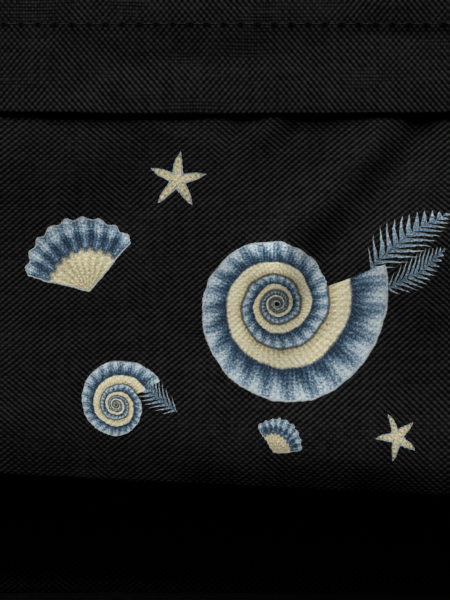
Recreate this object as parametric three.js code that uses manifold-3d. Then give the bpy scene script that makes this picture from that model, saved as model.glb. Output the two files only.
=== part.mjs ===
// Zipped fabric pouch bag, in millimetres, +Z up, front facing -Y.
// The main compartment is sewn from a front panel, a padded back panel and a gusset, with a zip along the top.
// A shallow front pocket is sewn on the front panel. Its own zip hides under a storm flap.
import * as THREE from "three";
import { mergeVertices } from "three/addons/utils/BufferGeometryUtils.js";
import Module from "manifold-3d";

const wasm = await Module();
wasm.setup();

// Driving dimensions
const BAG_WIDTH = 250;
const BAG_HEIGHT = 183;
const BAG_DEPTH = 64;
const BAG_CORNER = 30;
const SIDE_PUFF = 3;
const SIDE_PUFF_LOW = 4;
const SIDE_PUFF_FULL = 60;
const BACK_PUFF = 3;
const BACK_PUFF_FULLNESS = 0.6;
const LINED_CLOTH = 2;
const BACK_PAD = 4;
const POCKET_CLOTH = 1.6;
const SEAM_GAP = 0.3;
const PIPING_RADIUS = 2;
const PIPING_JOIN = 0.5;

const POCKET_WIDTH = 220;
const POCKET_BOTTOM = 34.5;
const POCKET_TOP = 171;
const POCKET_CORNER = 20;
const POCKET_DEPTH = 15.4;
const FLAP_EDGE = 127.5;
const FLAP_STITCH = 149.3;
const PANEL_TOP = 134;
const ROLL_RADIUS = 11;
const PANEL_AT_ZIP = 1;
const PANEL_ROLLED_OUT = 6.2;
const PANEL_SWELL = 2.6;
const PANEL_SWELL_PAST_TOP = 8;
const PANEL_TURN_IN = 13;
const FLAP_ROLLED_OUT = 8.4;
const FLAP_SWELL = 1.6;
const FLAP_STEP_START = 1;
const FLAP_STEP_END = 4;
const FACING_HEIGHT = 7;

const TAPE_THICKNESS = 0.8;
const TAPE_WIDTH = 12;
const COIL_WIDTH = 2;
const COIL_HEIGHT = 2.4;
const COIL_SPLIT = 1;
const ZIP_SLOT = 14;
const PATCH_THICKNESS = 1;
const PATCH_FROM_COIL = 4;
const MAIN_TAPE_DROP = 0.65;
const POCKET_TAPE_Y = -18.6;
const MAIN_TAPE_OVERRUN = 15;
const POCKET_TAPE_OVERRUN = 2;
const MAIN_ZIP_HALF = 80;
const POCKET_ZIP_HALF = 88;
const POCKET_ZIP_Z = 140;
const TOP_BAND_HALF = 94;

const SLIDER_LENGTH = 12;
const SLIDER_WIDTH = 8;
const SLIDER_PLATE = 1;
const SLIDER_TAPER = 1.2;
const SLIDER_NOSE_ROUND = 2;
const SLIDER_TAIL_ROUND = 1;
const SLIDER_CLEARANCE = 0.3;
const POST_START = 1;
const POST_END = 5;
const POST_THICKNESS = 0.5;
const ARCH_TUNNEL = 1.5;
const ARCH_BAR = 0.8;
const ARCH_LEG = 0.9;
const ARCH_WIDTH = 2.4;
const ARCH_SPAN = 8;
const CROSSBAR_RADIUS = 0.55;
const CROSSBAR_PLAY = 0.2;
const PULL_THICKNESS = 1.1;
const PULL_ARM = 1.2;
const PULL_ARM_PLAY = 0.3;
const PULL_END_PLAY = 0.6;
const PULL_TIP_RADIUS = 3.6;
const PULL_HOLE_RADIUS = 1.6;
const STOP_HALF_LENGTH = 1.2;
const STOP_HALF_HEIGHT = 1.3;
const MAIN_SLIDER_X = 73.5;
const POCKET_SLIDER_X = 80;
const MAIN_PULL_LENGTH = 20;
const POCKET_PULL_LENGTH = 18;

// Modelling values
const CORNER_STEPS = 7;
const PIPING_SIDES = 8;
const WELD_DISTANCE = 1e-4;
const HAIR = 0.01;
const BITE = 0.5; // how far joined solids reach into each other
const PAST_EDGE = 100; // where a rim is put when a panel's edge is free

// Places that follow from the driving dimensions
const RING_FRONT = PIPING_RADIUS / 2 + PIPING_RADIUS + SEAM_GAP;
const RING_BACK = BAG_DEPTH - RING_FRONT;
const PANEL_INSET = 2 * PIPING_RADIUS + SEAM_GAP;
const RIM_FACE = -(SEAM_GAP + POCKET_DEPTH + SEAM_GAP + POCKET_CLOTH);
const MAIN_TAPE_Z = BAG_HEIGHT - MAIN_TAPE_DROP;
const TOP_CENTRE_Y = BAG_DEPTH / 2;

const bag = new THREE.Group();

// Materials
const blackWeave = new THREE.MeshStandardMaterial({ color: 0x17171a, roughness: 0.85, metalness: 0 });
const pocketWeave = new THREE.MeshStandardMaterial({ color: 0x1a1a1c, roughness: 0.82, metalness: 0 });
const pipingCloth = new THREE.MeshStandardMaterial({ color: 0x111113, roughness: 0.7, metalness: 0 });
const zipTape = new THREE.MeshStandardMaterial({ color: 0x121214, roughness: 0.8, metalness: 0 });
const nylonCoil = new THREE.MeshStandardMaterial({ color: 0x0d0d0f, roughness: 0.45, metalness: 0 });
const blackMetal = new THREE.MeshStandardMaterial({ color: 0x1b1b1d, roughness: 0.35, metalness: 0.8 });

/** Adds one named piece to a group. */
function addPiece(name, geometry, material, parent = bag) {
  const mesh = new THREE.Mesh(geometry, material);
  mesh.name = name;
  parent.add(mesh);
  return mesh;
}

/** A closed geometry as a solid that can be cut or joined. */
function toSolid(geometry) {
  const bare = geometry.clone();
  bare.deleteAttribute("normal");
  bare.deleteAttribute("uv");
  const merged = mergeVertices(bare, WELD_DISTANCE);
  return new wasm.Manifold(
    new wasm.Mesh({
      numProp: 3,
      vertProperties: merged.attributes.position.array,
      triVerts: new Uint32Array(merged.index.array),
    }),
  );
}

/** A solid's faces as a geometry. */
function toGeometry(solid) {
  const mesh = solid.getMesh();
  return new THREE.BufferGeometry()
    .setAttribute("position", new THREE.BufferAttribute(mesh.vertProperties, 3))
    .setIndex(new THREE.BufferAttribute(mesh.triVerts, 1));
}

/** Several closed geometries joined into one. */
function join(...geometries) {
  const solids = geometries.map(toSolid);
  return toGeometry(solids.slice(1).reduce((whole, next) => whole.add(next), solids[0]));
}

/** A box given by its lowest and highest corners. */
function boxBetween(low, high) {
  const size = high.map((value, i) => value - low[i]);
  const box = new THREE.BoxGeometry(...size);
  box.translate(...low.map((value, i) => value + size[i] / 2));
  return box;
}

/** Moves every vertex of a geometry by a function of its place. */
function reshape(geometry, move) {
  const position = geometry.attributes.position;
  const point = new THREE.Vector3();
  for (let i = 0; i < position.count; i += 1) {
    point.fromBufferAttribute(position, i);
    move(point);
    position.setXYZ(i, point.x, point.y, point.z);
  }
  return geometry;
}

/** Points of a rounded rectangle, anticlockwise from the middle of its bottom edge. */
function roundedOutline(width, low, high, radius, cornerSteps, sideSteps = 1) {
  const right = width / 2 - radius;
  const corners = [
    [right, low + radius, -Math.PI / 2],
    [right, high - radius, 0],
    [-right, high - radius, Math.PI / 2],
    [-right, low + radius, Math.PI],
  ];
  const points = [new THREE.Vector2(0, low)];
  corners.forEach(([x, z, start], turn) => {
    for (let i = 0; i <= cornerSteps; i += 1) {
      const angle = start + (i / cornerSteps) * (Math.PI / 2);
      points.push(new THREE.Vector2(x + radius * Math.cos(angle), z + radius * Math.sin(angle)));
    }
    const runsUpright = turn % 2 === 0;
    const from = points.at(-1).clone();
    const to = new THREE.Vector2(from.x, low + high - from.y);
    for (let i = 1; runsUpright && i < sideSteps; i += 1) {
      points.push(new THREE.Vector2().lerpVectors(from, to, i / sideSteps));
    }
  });
  return points;
}

/** A band of cloth that follows a rounded rectangle, running from one Y to another. */
function clothRing({ width, low, high, radius, thickness, from, to, steps = 1, sideSteps = 1 }) {
  const outer = roundedOutline(width, low, high, radius, CORNER_STEPS, sideSteps);
  const insideWidth = width - 2 * thickness;
  const inside = [insideWidth, low + thickness, high - thickness, radius - thickness];
  const shape = new THREE.Shape(outer);
  shape.holes.push(new THREE.Path(roundedOutline(...inside, CORNER_STEPS, sideSteps)));
  const ring = new THREE.ExtrudeGeometry(shape, { depth: to - from, steps, bevelEnabled: false });
  ring.rotateX(Math.PI / 2);
  ring.translate(0, to, 0);
  return ring;
}

/** Pulls a grid point in the corner squares of a rectangle onto a rounded corner. */
function roundCorner(point, { halfWidth, low, high, radius, top, bottom }) {
  const overX = Math.abs(point.x) - (halfWidth - radius);
  const overLow = low + radius - point.z;
  const overHigh = point.z - (high - radius);
  if (overX <= 0) {
    return;
  }
  const a = overX / radius;
  if (bottom && overLow > 0) {
    const b = overLow / radius;
    point.x = Math.sign(point.x) * (halfWidth - radius + radius * a * Math.sqrt(1 - (b * b) / 2));
    point.z = low + radius - radius * b * Math.sqrt(1 - (a * a) / 2);
  } else if (top && overHigh > 0) {
    const b = overHigh / radius;
    point.x = Math.sign(point.x) * (halfWidth - radius + radius * a * Math.sqrt(1 - (b * b) / 2));
    point.z = high - radius + radius * b * Math.sqrt(1 - (a * a) / 2);
  }
}

/** Share of a quarter-round roll reached at a distance from a sewn rim. */
function roll(distance, radius = ROLL_RADIUS) {
  const left = 1 - Math.min(Math.max(distance, 0), radius) / radius;
  return Math.sqrt(1 - left * left);
}

/** Distance from a point to the nearest rim of a rounded rectangle. */
function rimDistance(x, z, { halfWidth, low, high, radius }) {
  const cornerX = Math.max(Math.abs(x) - (halfWidth - radius), 0);
  const cornerZ = Math.max(low + radius - z, z - (high - radius), 0);
  if (cornerX > 0 && cornerZ > 0) {
    return radius - Math.hypot(cornerX, cornerZ);
  }
  return Math.min(halfWidth - Math.abs(x), z - low, high - z);
}

const pocketRim = {
  halfWidth: POCKET_WIDTH / 2,
  low: POCKET_BOTTOM,
  high: POCKET_TOP,
  radius: POCKET_CORNER,
};

/** A curved sewn panel whose outer face is given by a function of x and z, with its back face one cloth behind. */
function sewnPanel({ low, high, columns, rows, top, bottom, face, back, thickness, halfWidth, radius }) {
  const panel = new THREE.BoxGeometry(2, 1, 2, columns, 1, rows);
  return reshape(panel, (point) => {
    const isOuter = point.y < 0;
    point.x = halfWidth * Math.sin((point.x * Math.PI) / 2);
    point.z = low + ((high - low) * (1 + Math.sin((point.z * Math.PI) / 2))) / 2;
    roundCorner(point, { halfWidth, low, high, radius, top, bottom });
    const outer = face(point.x, point.z);
    point.y = isOuter ? outer : back ? back(point.x, point.z) : outer + thickness;
  });
}

/** Outer face of the printed panel: rolls out from its rims, swells a little, and turns in under the flap. */
function pocketPanelFace(x, z) {
  const turnIn = roll(PANEL_TOP + PANEL_AT_ZIP - z, PANEL_TURN_IN);
  const rim = roll(rimDistance(x, z, { ...pocketRim, high: POCKET_TOP + PAST_EDGE }));
  const acrossX = 1 - (x / pocketRim.halfWidth) ** 2;
  const middle = (POCKET_BOTTOM + PANEL_TOP) / 2;
  const acrossZ = 1 - ((z - middle) / (PANEL_TOP - middle + PANEL_SWELL_PAST_TOP)) ** 2;
  const out = rim * (PANEL_AT_ZIP + PANEL_ROLLED_OUT * turnIn);
  return RIM_FACE - out - PANEL_SWELL * acrossX * acrossZ * turnIn;
}

/** Outer face of the storm flap and the strip above it. */
function stormFlapFace(x, z) {
  const rim = roll(rimDistance(x, z, { ...pocketRim, low: POCKET_BOTTOM - PAST_EDGE }));
  const acrossX = 1 - (x / pocketRim.halfWidth) ** 2;
  const abovePanel = THREE.MathUtils.smoothstep(z, PANEL_TOP + FLAP_STEP_START, PANEL_TOP + FLAP_STEP_END);
  const overPanel = (POCKET_CLOTH + SEAM_GAP) * (1 - abovePanel);
  return RIM_FACE - overPanel * (1 - rim) - rim * (FLAP_ROLLED_OUT + FLAP_SWELL * acrossX);
}

/** Outer face of the padded back panel, fullest in its middle. */
function paddedBackFace(x, z) {
  const across = 1 - (x / panelHalf) ** 2;
  const up = 1 - ((z - BAG_HEIGHT / 2) / (panelHigh - BAG_HEIGHT / 2)) ** 2;
  return BAG_DEPTH + BACK_PUFF * Math.max(across * up, 0) ** BACK_PUFF_FULLNESS;
}

/** The gusset, cut away along the top where the zip band goes, and puffed out between its seams. */
function gusset() {
  const ring = clothRing({
    width: BAG_WIDTH,
    low: 0,
    high: BAG_HEIGHT,
    radius: BAG_CORNER,
    thickness: LINED_CLOTH,
    from: RING_FRONT,
    to: RING_BACK,
    steps: 6,
    sideSteps: 5,
  });
  reshape(ring, (point) => {
    const along = (point.y - RING_FRONT) / (RING_BACK - RING_FRONT);
    const rise = THREE.MathUtils.smoothstep(point.z, SIDE_PUFF_LOW, SIDE_PUFF_FULL);
    const puff = SIDE_PUFF * Math.sin(Math.PI * along) * rise;
    const reach = BAG_WIDTH / 2 - BAG_CORNER;
    const outX = point.x - THREE.MathUtils.clamp(point.x, -reach, reach);
    const outZ = point.z - THREE.MathUtils.clamp(point.z, BAG_CORNER, BAG_HEIGHT - BAG_CORNER);
    const length = Math.hypot(outX, outZ) || 1;
    point.x += (puff * outX) / length;
    point.z += (puff * outZ) / length;
  });
  const reach = 20;
  const zipOpening = boxBetween(
    [-TOP_BAND_HALF, 0, BAG_HEIGHT - reach],
    [TOP_BAND_HALF, BAG_DEPTH, BAG_HEIGHT + reach],
  );
  return toGeometry(toSolid(ring).subtract(toSolid(zipOpening)));
}

/** One strip of the top band beside the zip slot. */
function topStrip(from, to) {
  const length = 2 * (TOP_BAND_HALF - SEAM_GAP);
  const strip = new THREE.BoxGeometry(length, to - from, LINED_CLOTH, 1, 4, 1);
  strip.translate(0, (from + to) / 2, BAG_HEIGHT - LINED_CLOTH / 2);
  return reshape(strip, (point) => {
    const along = (point.y - RING_FRONT) / (RING_BACK - RING_FRONT);
    point.z += SIDE_PUFF * Math.sin(Math.PI * along);
  });
}

/** A closed line round a rounded rectangle that starts and ends at the middle of the bottom, a small join apart. */
class RimLine extends THREE.Curve {
  constructor(width, low, high, radius, y) {
    super();
    const outline = roundedOutline(width, low, high, radius, CORNER_STEPS);
    const start = outline[0].clone().setX(PIPING_JOIN / 2);
    const end = outline[0].clone().setX(-PIPING_JOIN / 2);
    this.stops = [start, ...outline.slice(1), end].map((p) => new THREE.Vector3(p.x, y, p.y));
  }
  getUtoTmapping(u) {
    return u;
  }
  getPoint(t, target = new THREE.Vector3()) {
    const last = this.stops.length - 1;
    const place = THREE.MathUtils.clamp(t, 0, 1) * last;
    const index = Math.min(Math.floor(place), last - 1);
    return target.lerpVectors(this.stops[index], this.stops[index + 1], place - index);
  }
}

/** Corded piping sewn round one edge of the main compartment. */
function piping(y) {
  const line = new RimLine(
    BAG_WIDTH - 2 * PIPING_RADIUS,
    PIPING_RADIUS,
    BAG_HEIGHT - PIPING_RADIUS,
    BAG_CORNER - PIPING_RADIUS,
    y,
  );
  const section = new THREE.Shape();
  for (let i = 0; i < PIPING_SIDES; i += 1) {
    const angle = ((i + 0.5) / PIPING_SIDES) * 2 * Math.PI;
    const place = [PIPING_RADIUS * Math.cos(angle), PIPING_RADIUS * Math.sin(angle)];
    if (i === 0) {
      section.moveTo(...place);
    } else {
      section.lineTo(...place);
    }
  }
  const flatFoot = Math.cos(Math.PI / PIPING_SIDES);
  const cord = new THREE.ExtrudeGeometry(section, {
    steps: line.stops.length - 1,
    extrudePath: line,
    bevelEnabled: false,
  });
  return reshape(cord, (point) => {
    if (point.z < PIPING_RADIUS * (1 - flatFoot) + HAIR) {
      point.z = 0;
    }
  });
}

/** One tape of a zip, flat in the zip's own plane: X along it, Y across it. */
function tape(halfTape, side) {
  const inner = COIL_SPLIT / 2 + COIL_WIDTH + SEAM_GAP;
  const [from, to] = side > 0 ? [inner, inner + TAPE_WIDTH] : [-inner - TAPE_WIDTH, -inner];
  return boxBetween([-halfTape, from, -TAPE_THICKNESS / 2], [halfTape, to, TAPE_THICKNESS / 2]);
}

/** One row of the zip's coil, with its outer edges chamfered. */
function coilRow(halfLength, side) {
  const near = (side * COIL_SPLIT) / 2;
  const far = near + side * COIL_WIDTH;
  const half = COIL_HEIGHT / 2;
  const chamfer = 0.6;
  const section = new THREE.Shape([
    new THREE.Vector2(near, -half),
    new THREE.Vector2(far - side * chamfer, -half),
    new THREE.Vector2(far, -half + chamfer),
    new THREE.Vector2(far, half - chamfer),
    new THREE.Vector2(far - side * chamfer, half),
    new THREE.Vector2(near, half),
  ]);
  const row = new THREE.ExtrudeGeometry(section, { depth: 2 * halfLength, bevelEnabled: false });
  row.rotateX(Math.PI / 2);
  row.rotateZ(Math.PI / 2);
  row.translate(-halfLength, 0, 0);
  return row;
}

/** A rounded plate in the XY plane, wider at its closing end, as a zip slider's is. */
function sliderPlate(z) {
  const long = SLIDER_LENGTH / 2;
  const wide = SLIDER_WIDTH / 2;
  const tail = wide - SLIDER_TAPER;
  const nose = SLIDER_NOSE_ROUND;
  const heel = SLIDER_TAIL_ROUND;
  const plate = new THREE.Shape();
  plate.moveTo(-long + heel, -tail);
  plate.lineTo(long - nose, -wide);
  plate.quadraticCurveTo(long, -wide, long, -wide + nose);
  plate.lineTo(long, wide - nose);
  plate.quadraticCurveTo(long, wide, long - nose, wide);
  plate.lineTo(-long + heel, tail);
  plate.quadraticCurveTo(-long, tail, -long, tail - heel);
  plate.lineTo(-long, -tail + heel);
  plate.quadraticCurveTo(-long, -tail, -long + heel, -tail);
  const solid = new THREE.ExtrudeGeometry(plate, { depth: SLIDER_PLATE, bevelEnabled: false, curveSegments: 4 });
  solid.translate(0, 0, z);
  return solid;
}

/** The slider: two plates, the post between the coil rows, and the arch that holds the pull. */
function slider() {
  const under = COIL_HEIGHT / 2 + SLIDER_CLEARANCE;
  const plateTop = under + SLIDER_PLATE;
  const half = ARCH_WIDTH / 2;
  const span = ARCH_SPAN / 2;
  const barLow = plateTop + ARCH_TUNNEL;
  const barTop = barLow + ARCH_BAR;
  const legLow = plateTop - BITE;
  const postHalf = POST_THICKNESS / 2;
  const post = boxBetween([POST_START, -postHalf, -under - BITE], [POST_END, postHalf, under + BITE]);
  const bar = boxBetween([-span, -half, barLow], [span, half, barTop]);
  const legFront = boxBetween([span - ARCH_LEG, -half, legLow], [span, half, barTop]);
  const legBack = boxBetween([-span, -half, legLow], [-span + ARCH_LEG, half, barTop]);
  return join(sliderPlate(under), sliderPlate(-under - SLIDER_PLATE), post, bar, legFront, legBack);
}

/** Height of the pull's crossbar above the zip's plane. */
const PULL_AXIS = COIL_HEIGHT / 2 + SLIDER_CLEARANCE + SLIDER_PLATE + CROSSBAR_PLAY + CROSSBAR_RADIUS;

/** The pull: a crossbar in the arch, two arms past it, and a tab with a hole, pointing along -X. */
function pull(length) {
  const arm = ARCH_WIDTH / 2 + PULL_ARM_PLAY;
  const outer = arm + PULL_ARM;
  const start = ARCH_SPAN / 2 + PULL_END_PLAY;
  const tipCentre = PULL_TIP_RADIUS - length;
  const tab = new THREE.Shape();
  tab.moveTo(-start, -outer);
  tab.lineTo(tipCentre, -PULL_TIP_RADIUS);
  tab.absarc(tipCentre, 0, PULL_TIP_RADIUS, -Math.PI / 2, Math.PI / 2, true);
  tab.lineTo(-start, outer);
  const hole = new THREE.Path();
  hole.absarc(tipCentre, 0, PULL_HOLE_RADIUS, 0, 2 * Math.PI, false);
  tab.holes.push(hole);
  const plate = new THREE.ExtrudeGeometry(tab, { depth: PULL_THICKNESS, bevelEnabled: false, curveSegments: 8 });
  const half = PULL_THICKNESS / 2;
  plate.translate(0, 0, -half);
  const leftArm = boxBetween([-start - BITE, arm, -half], [CROSSBAR_RADIUS, outer, half]);
  const rightArm = boxBetween([-start - BITE, -outer, -half], [CROSSBAR_RADIUS, -arm, half]);
  const crossbar = new THREE.CylinderGeometry(CROSSBAR_RADIUS, CROSSBAR_RADIUS, 2 * (arm + BITE), 10);
  return join(plate, leftArm, rightArm, crossbar);
}

/** A metal stop clipped over the end of the coil. */
function zipStop(x, from, to) {
  return boxBetween([x - STOP_HALF_LENGTH, from, -STOP_HALF_HEIGHT], [x + STOP_HALF_LENGTH, to, STOP_HALF_HEIGHT]);
}

/** Builds a whole zip in its own plane and gives its moving slider and pull their own groups. */
function addZip({ name, halfLength, overrun, sliderX, pullLength, holder }) {
  const beyond = halfLength + STOP_HALF_LENGTH + SEAM_GAP;
  const reach = COIL_SPLIT / 2 + COIL_WIDTH;
  addPiece(`${name}_tape_near`, tape(halfLength + overrun, -1), zipTape, holder);
  addPiece(`${name}_tape_far`, tape(halfLength + overrun, 1), zipTape, holder);
  addPiece(`${name}_coil_near`, coilRow(halfLength, -1), nylonCoil, holder);
  addPiece(`${name}_coil_far`, coilRow(halfLength, 1), nylonCoil, holder);
  addPiece(`${name}_top_stop_near`, zipStop(beyond, -reach, -COIL_SPLIT / 2), blackMetal, holder);
  addPiece(`${name}_top_stop_far`, zipStop(beyond, COIL_SPLIT / 2, reach), blackMetal, holder);
  addPiece(`${name}_bottom_stop`, zipStop(-beyond, -reach, reach), blackMetal, holder);
  const carriage = new THREE.Group();
  carriage.position.x = sliderX;
  holder.add(carriage);
  addPiece(`${name}_slider`, slider(), blackMetal, carriage);
  addPiece(`${name}_pull`, pull(pullLength), blackMetal, carriage).position.z = PULL_AXIS;
}

/** A cloth patch sewn across both tapes at one end of the top zip, reaching under the end of the gusset. */
function endPatch(side) {
  const from = MAIN_ZIP_HALF + PATCH_FROM_COIL;
  const lift = TAPE_THICKNESS / 2 + SEAM_GAP;
  const half = ZIP_SLOT / 2 - SEAM_GAP;
  const patch = boxBetween([from, -half, lift], [TOP_BAND_HALF - SEAM_GAP, half, lift + PATCH_THICKNESS]);
  return side < 0 ? patch.rotateZ(Math.PI) : patch;
}

/** The folded seam allowance that carries the pocket zip's upper tape behind the stitch line of the flap. */
function flapFacing() {
  const halfLength = POCKET_ZIP_HALF + POCKET_TAPE_OVERRUN;
  const facing = new THREE.BoxGeometry(2 * halfLength, 1, FACING_HEIGHT, 12, 1, 1);
  return reshape(facing, (point) => {
    const isOuter = point.y < 0;
    point.z += FLAP_STITCH;
    const flapBack = stormFlapFace(point.x, point.z) + POCKET_CLOTH + SEAM_GAP;
    point.y = isOuter ? flapBack : POCKET_TAPE_Y - TAPE_THICKNESS / 2 - SEAM_GAP;
  });
}

// Main compartment
const panelHalf = BAG_WIDTH / 2 - PANEL_INSET;
const panelLow = PANEL_INSET;
const panelHigh = BAG_HEIGHT - PANEL_INSET;
const panelCorner = BAG_CORNER - PANEL_INSET;
const plainPanel = {
  low: panelLow,
  high: panelHigh,
  top: true,
  bottom: true,
  halfWidth: panelHalf,
  radius: panelCorner,
};
addPiece(
  "front_panel",
  sewnPanel({ ...plainPanel, columns: 10, rows: 8, face: () => 0, thickness: LINED_CLOTH }),
  blackWeave,
);
addPiece(
  "back_panel",
  sewnPanel({
    ...plainPanel,
    columns: 14,
    rows: 12,
    face: () => BAG_DEPTH - BACK_PAD,
    back: paddedBackFace,
  }),
  blackWeave,
);
addPiece("gusset", gusset(), blackWeave);
addPiece("top_strip_front", topStrip(RING_FRONT, TOP_CENTRE_Y - ZIP_SLOT / 2), blackWeave);
addPiece("top_strip_back", topStrip(TOP_CENTRE_Y + ZIP_SLOT / 2, RING_BACK), blackWeave);
addPiece("piping_front", piping(PIPING_RADIUS / 2), pipingCloth);
addPiece("piping_back", piping(BAG_DEPTH - PIPING_RADIUS / 2), pipingCloth);

const mainZip = new THREE.Group();
mainZip.position.set(0, TOP_CENTRE_Y, MAIN_TAPE_Z);
bag.add(mainZip);
addZip({
  name: "main_zip",
  halfLength: MAIN_ZIP_HALF,
  overrun: MAIN_TAPE_OVERRUN,
  sliderX: MAIN_SLIDER_X,
  pullLength: MAIN_PULL_LENGTH,
  holder: mainZip,
});
addPiece("zip_end_patch_left", endPatch(-1), blackWeave, mainZip);
addPiece("zip_end_patch_right", endPatch(1), blackWeave, mainZip);

// Front pocket
addPiece(
  "pocket_gusset",
  clothRing({
    width: POCKET_WIDTH,
    low: POCKET_BOTTOM,
    high: POCKET_TOP,
    radius: POCKET_CORNER,
    thickness: POCKET_CLOTH,
    from: -SEAM_GAP - POCKET_DEPTH,
    to: -SEAM_GAP,
  }),
  blackWeave,
);
addPiece(
  "pocket_panel",
  sewnPanel({
    low: POCKET_BOTTOM,
    high: PANEL_TOP,
    columns: 20,
    rows: 14,
    bottom: true,
    face: pocketPanelFace,
    thickness: POCKET_CLOTH,
    halfWidth: pocketRim.halfWidth,
    radius: POCKET_CORNER,
  }),
  pocketWeave,
);
addPiece(
  "storm_flap",
  sewnPanel({
    low: FLAP_EDGE,
    high: POCKET_TOP,
    columns: 20,
    rows: 16,
    top: true,
    face: stormFlapFace,
    thickness: POCKET_CLOTH,
    halfWidth: pocketRim.halfWidth,
    radius: POCKET_CORNER,
  }),
  pocketWeave,
);
addPiece("flap_facing", flapFacing(), blackWeave);

const pocketZip = new THREE.Group();
pocketZip.position.set(0, POCKET_TAPE_Y, POCKET_ZIP_Z);
pocketZip.rotation.x = Math.PI / 2;
bag.add(pocketZip);
addZip({
  name: "pocket_zip",
  halfLength: POCKET_ZIP_HALF,
  overrun: POCKET_TAPE_OVERRUN,
  sliderX: POCKET_SLIDER_X,
  pullLength: POCKET_PULL_LENGTH,
  holder: pocketZip,
});

// The origin is the middle of the footprint, on the surface the bag stands on.
bag.updateMatrixWorld(true);
const extent = new THREE.Box3().setFromObject(bag, true);
const centre = extent.getCenter(new THREE.Vector3());
bag.position.set(-centre.x, -centre.y, -extent.min.z);

export default bag;
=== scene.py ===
"""Looks for a black woven pouch bag with a printed front pocket, in metres, +Z up, front -Y."""

import logging
import math
from collections.abc import Callable, Iterator, Sequence
from dataclasses import dataclass, field, replace
from enum import Enum

import bmesh
import bpy
import numpy as np
from mathutils import Matrix, Vector


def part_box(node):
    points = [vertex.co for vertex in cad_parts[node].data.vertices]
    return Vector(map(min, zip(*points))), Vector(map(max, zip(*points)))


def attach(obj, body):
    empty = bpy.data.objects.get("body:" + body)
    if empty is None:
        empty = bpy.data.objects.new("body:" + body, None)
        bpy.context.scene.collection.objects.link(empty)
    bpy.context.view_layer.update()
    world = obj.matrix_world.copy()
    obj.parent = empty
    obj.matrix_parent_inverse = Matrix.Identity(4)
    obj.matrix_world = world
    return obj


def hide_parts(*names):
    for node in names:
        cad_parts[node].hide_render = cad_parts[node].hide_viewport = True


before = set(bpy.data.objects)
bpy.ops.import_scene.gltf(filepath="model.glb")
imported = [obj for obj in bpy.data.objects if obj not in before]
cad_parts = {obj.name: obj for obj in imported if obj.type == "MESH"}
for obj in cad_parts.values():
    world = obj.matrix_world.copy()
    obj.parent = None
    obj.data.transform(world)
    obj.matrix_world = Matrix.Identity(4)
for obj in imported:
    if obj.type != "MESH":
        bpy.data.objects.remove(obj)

log = logging.getLogger("pouch")

MM = 0.001
Grid = np.ndarray
Mesh = bpy.types.Mesh
Material = bpy.types.Material
Node = bpy.types.Node
NodeTree = bpy.types.NodeTree
Object = bpy.types.Object
Socket = bpy.types.NodeSocket
FLOAT = "NodeSocketFloat"
VECTOR = "NodeSocketVector"
TURN = 2.0 * math.pi


class Slot(Enum):
    """The record's material slots."""

    BODY_CLOTH = "black_weave"
    POCKET_CLOTH = "pocket_weave"
    PIPING = "piping_cloth"
    TAPE = "zip_tape"
    COIL = "nylon_coil"
    METAL = "black_metal"


class Body(Enum):
    """The bodies that pieces ride on."""

    BAG = "bag"
    MAIN_RUNNER = "main_runner"
    MAIN_PULL = "main_pull"
    POCKET_RUNNER = "pocket_runner"


class Side(Enum):
    """The two halves of a zip, across its line of teeth."""

    NEAR = -1.0
    FAR = 1.0


# Smooth fields over a surface

def stacked(*parts: Grid) -> Grid:
    """Grids of coordinates as one grid of points."""
    return np.stack(parts, axis=-1)


def bump(value: Grid, centre: float, width: float) -> Grid:
    """A bell-shaped bump of height 1 over its centre."""
    return np.exp(-(((value - centre) / width) ** 2))


def roll(distance: Grid, radius: float) -> Grid:
    """Share of a quarter-round roll reached at a distance from a sewn rim.

    Args:
        distance: Distance from the rim, in metres.
        radius: How far in from the rim the roll ends.

    Returns:
        0 on the rim, 1 from the radius on.
    """
    left = 1.0 - np.clip(distance, 0.0, radius) / radius
    return np.sqrt(1.0 - left * left)


def ease(value: Grid, low: float, high: float) -> Grid:
    """A smooth step from 0 at low to 1 at high.

    Args:
        value: Where to read the step.
        low: The value at which the step starts.
        high: The value at which it is full.

    Returns:
        The share of the step, from 0 to 1.
    """
    share = np.clip((value - low) / (high - low), 0.0, 1.0)
    return share * share * (3.0 - 2.0 * share)


@dataclass(frozen=True)
class Unevenness:
    """Soft, repeatable unevenness of cloth: plane waves in random directions."""

    seed: int
    wavelength: float
    waves: int = 14
    spread: tuple[float, float] = (0.7, 1.6)

    def at(self, across: Grid, along: Grid) -> Grid:
        """Reads the unevenness.

        Args:
            across: First surface coordinate, in metres.
            along: Second surface coordinate, in metres.

        Returns:
            A value around 0, mostly between -1 and 1.
        """
        rng = np.random.default_rng(self.seed)
        total = np.zeros(np.broadcast(across, along).shape)
        for _ in range(self.waves):
            angle = rng.uniform(0.0, TURN)
            wave = self.wavelength * rng.uniform(*self.spread)
            phase = rng.uniform(0.0, TURN)
            travel = across * math.cos(angle) + along * math.sin(angle)
            total += np.cos(TURN * travel / wave + phase)
        return total / math.sqrt(self.waves)


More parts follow.
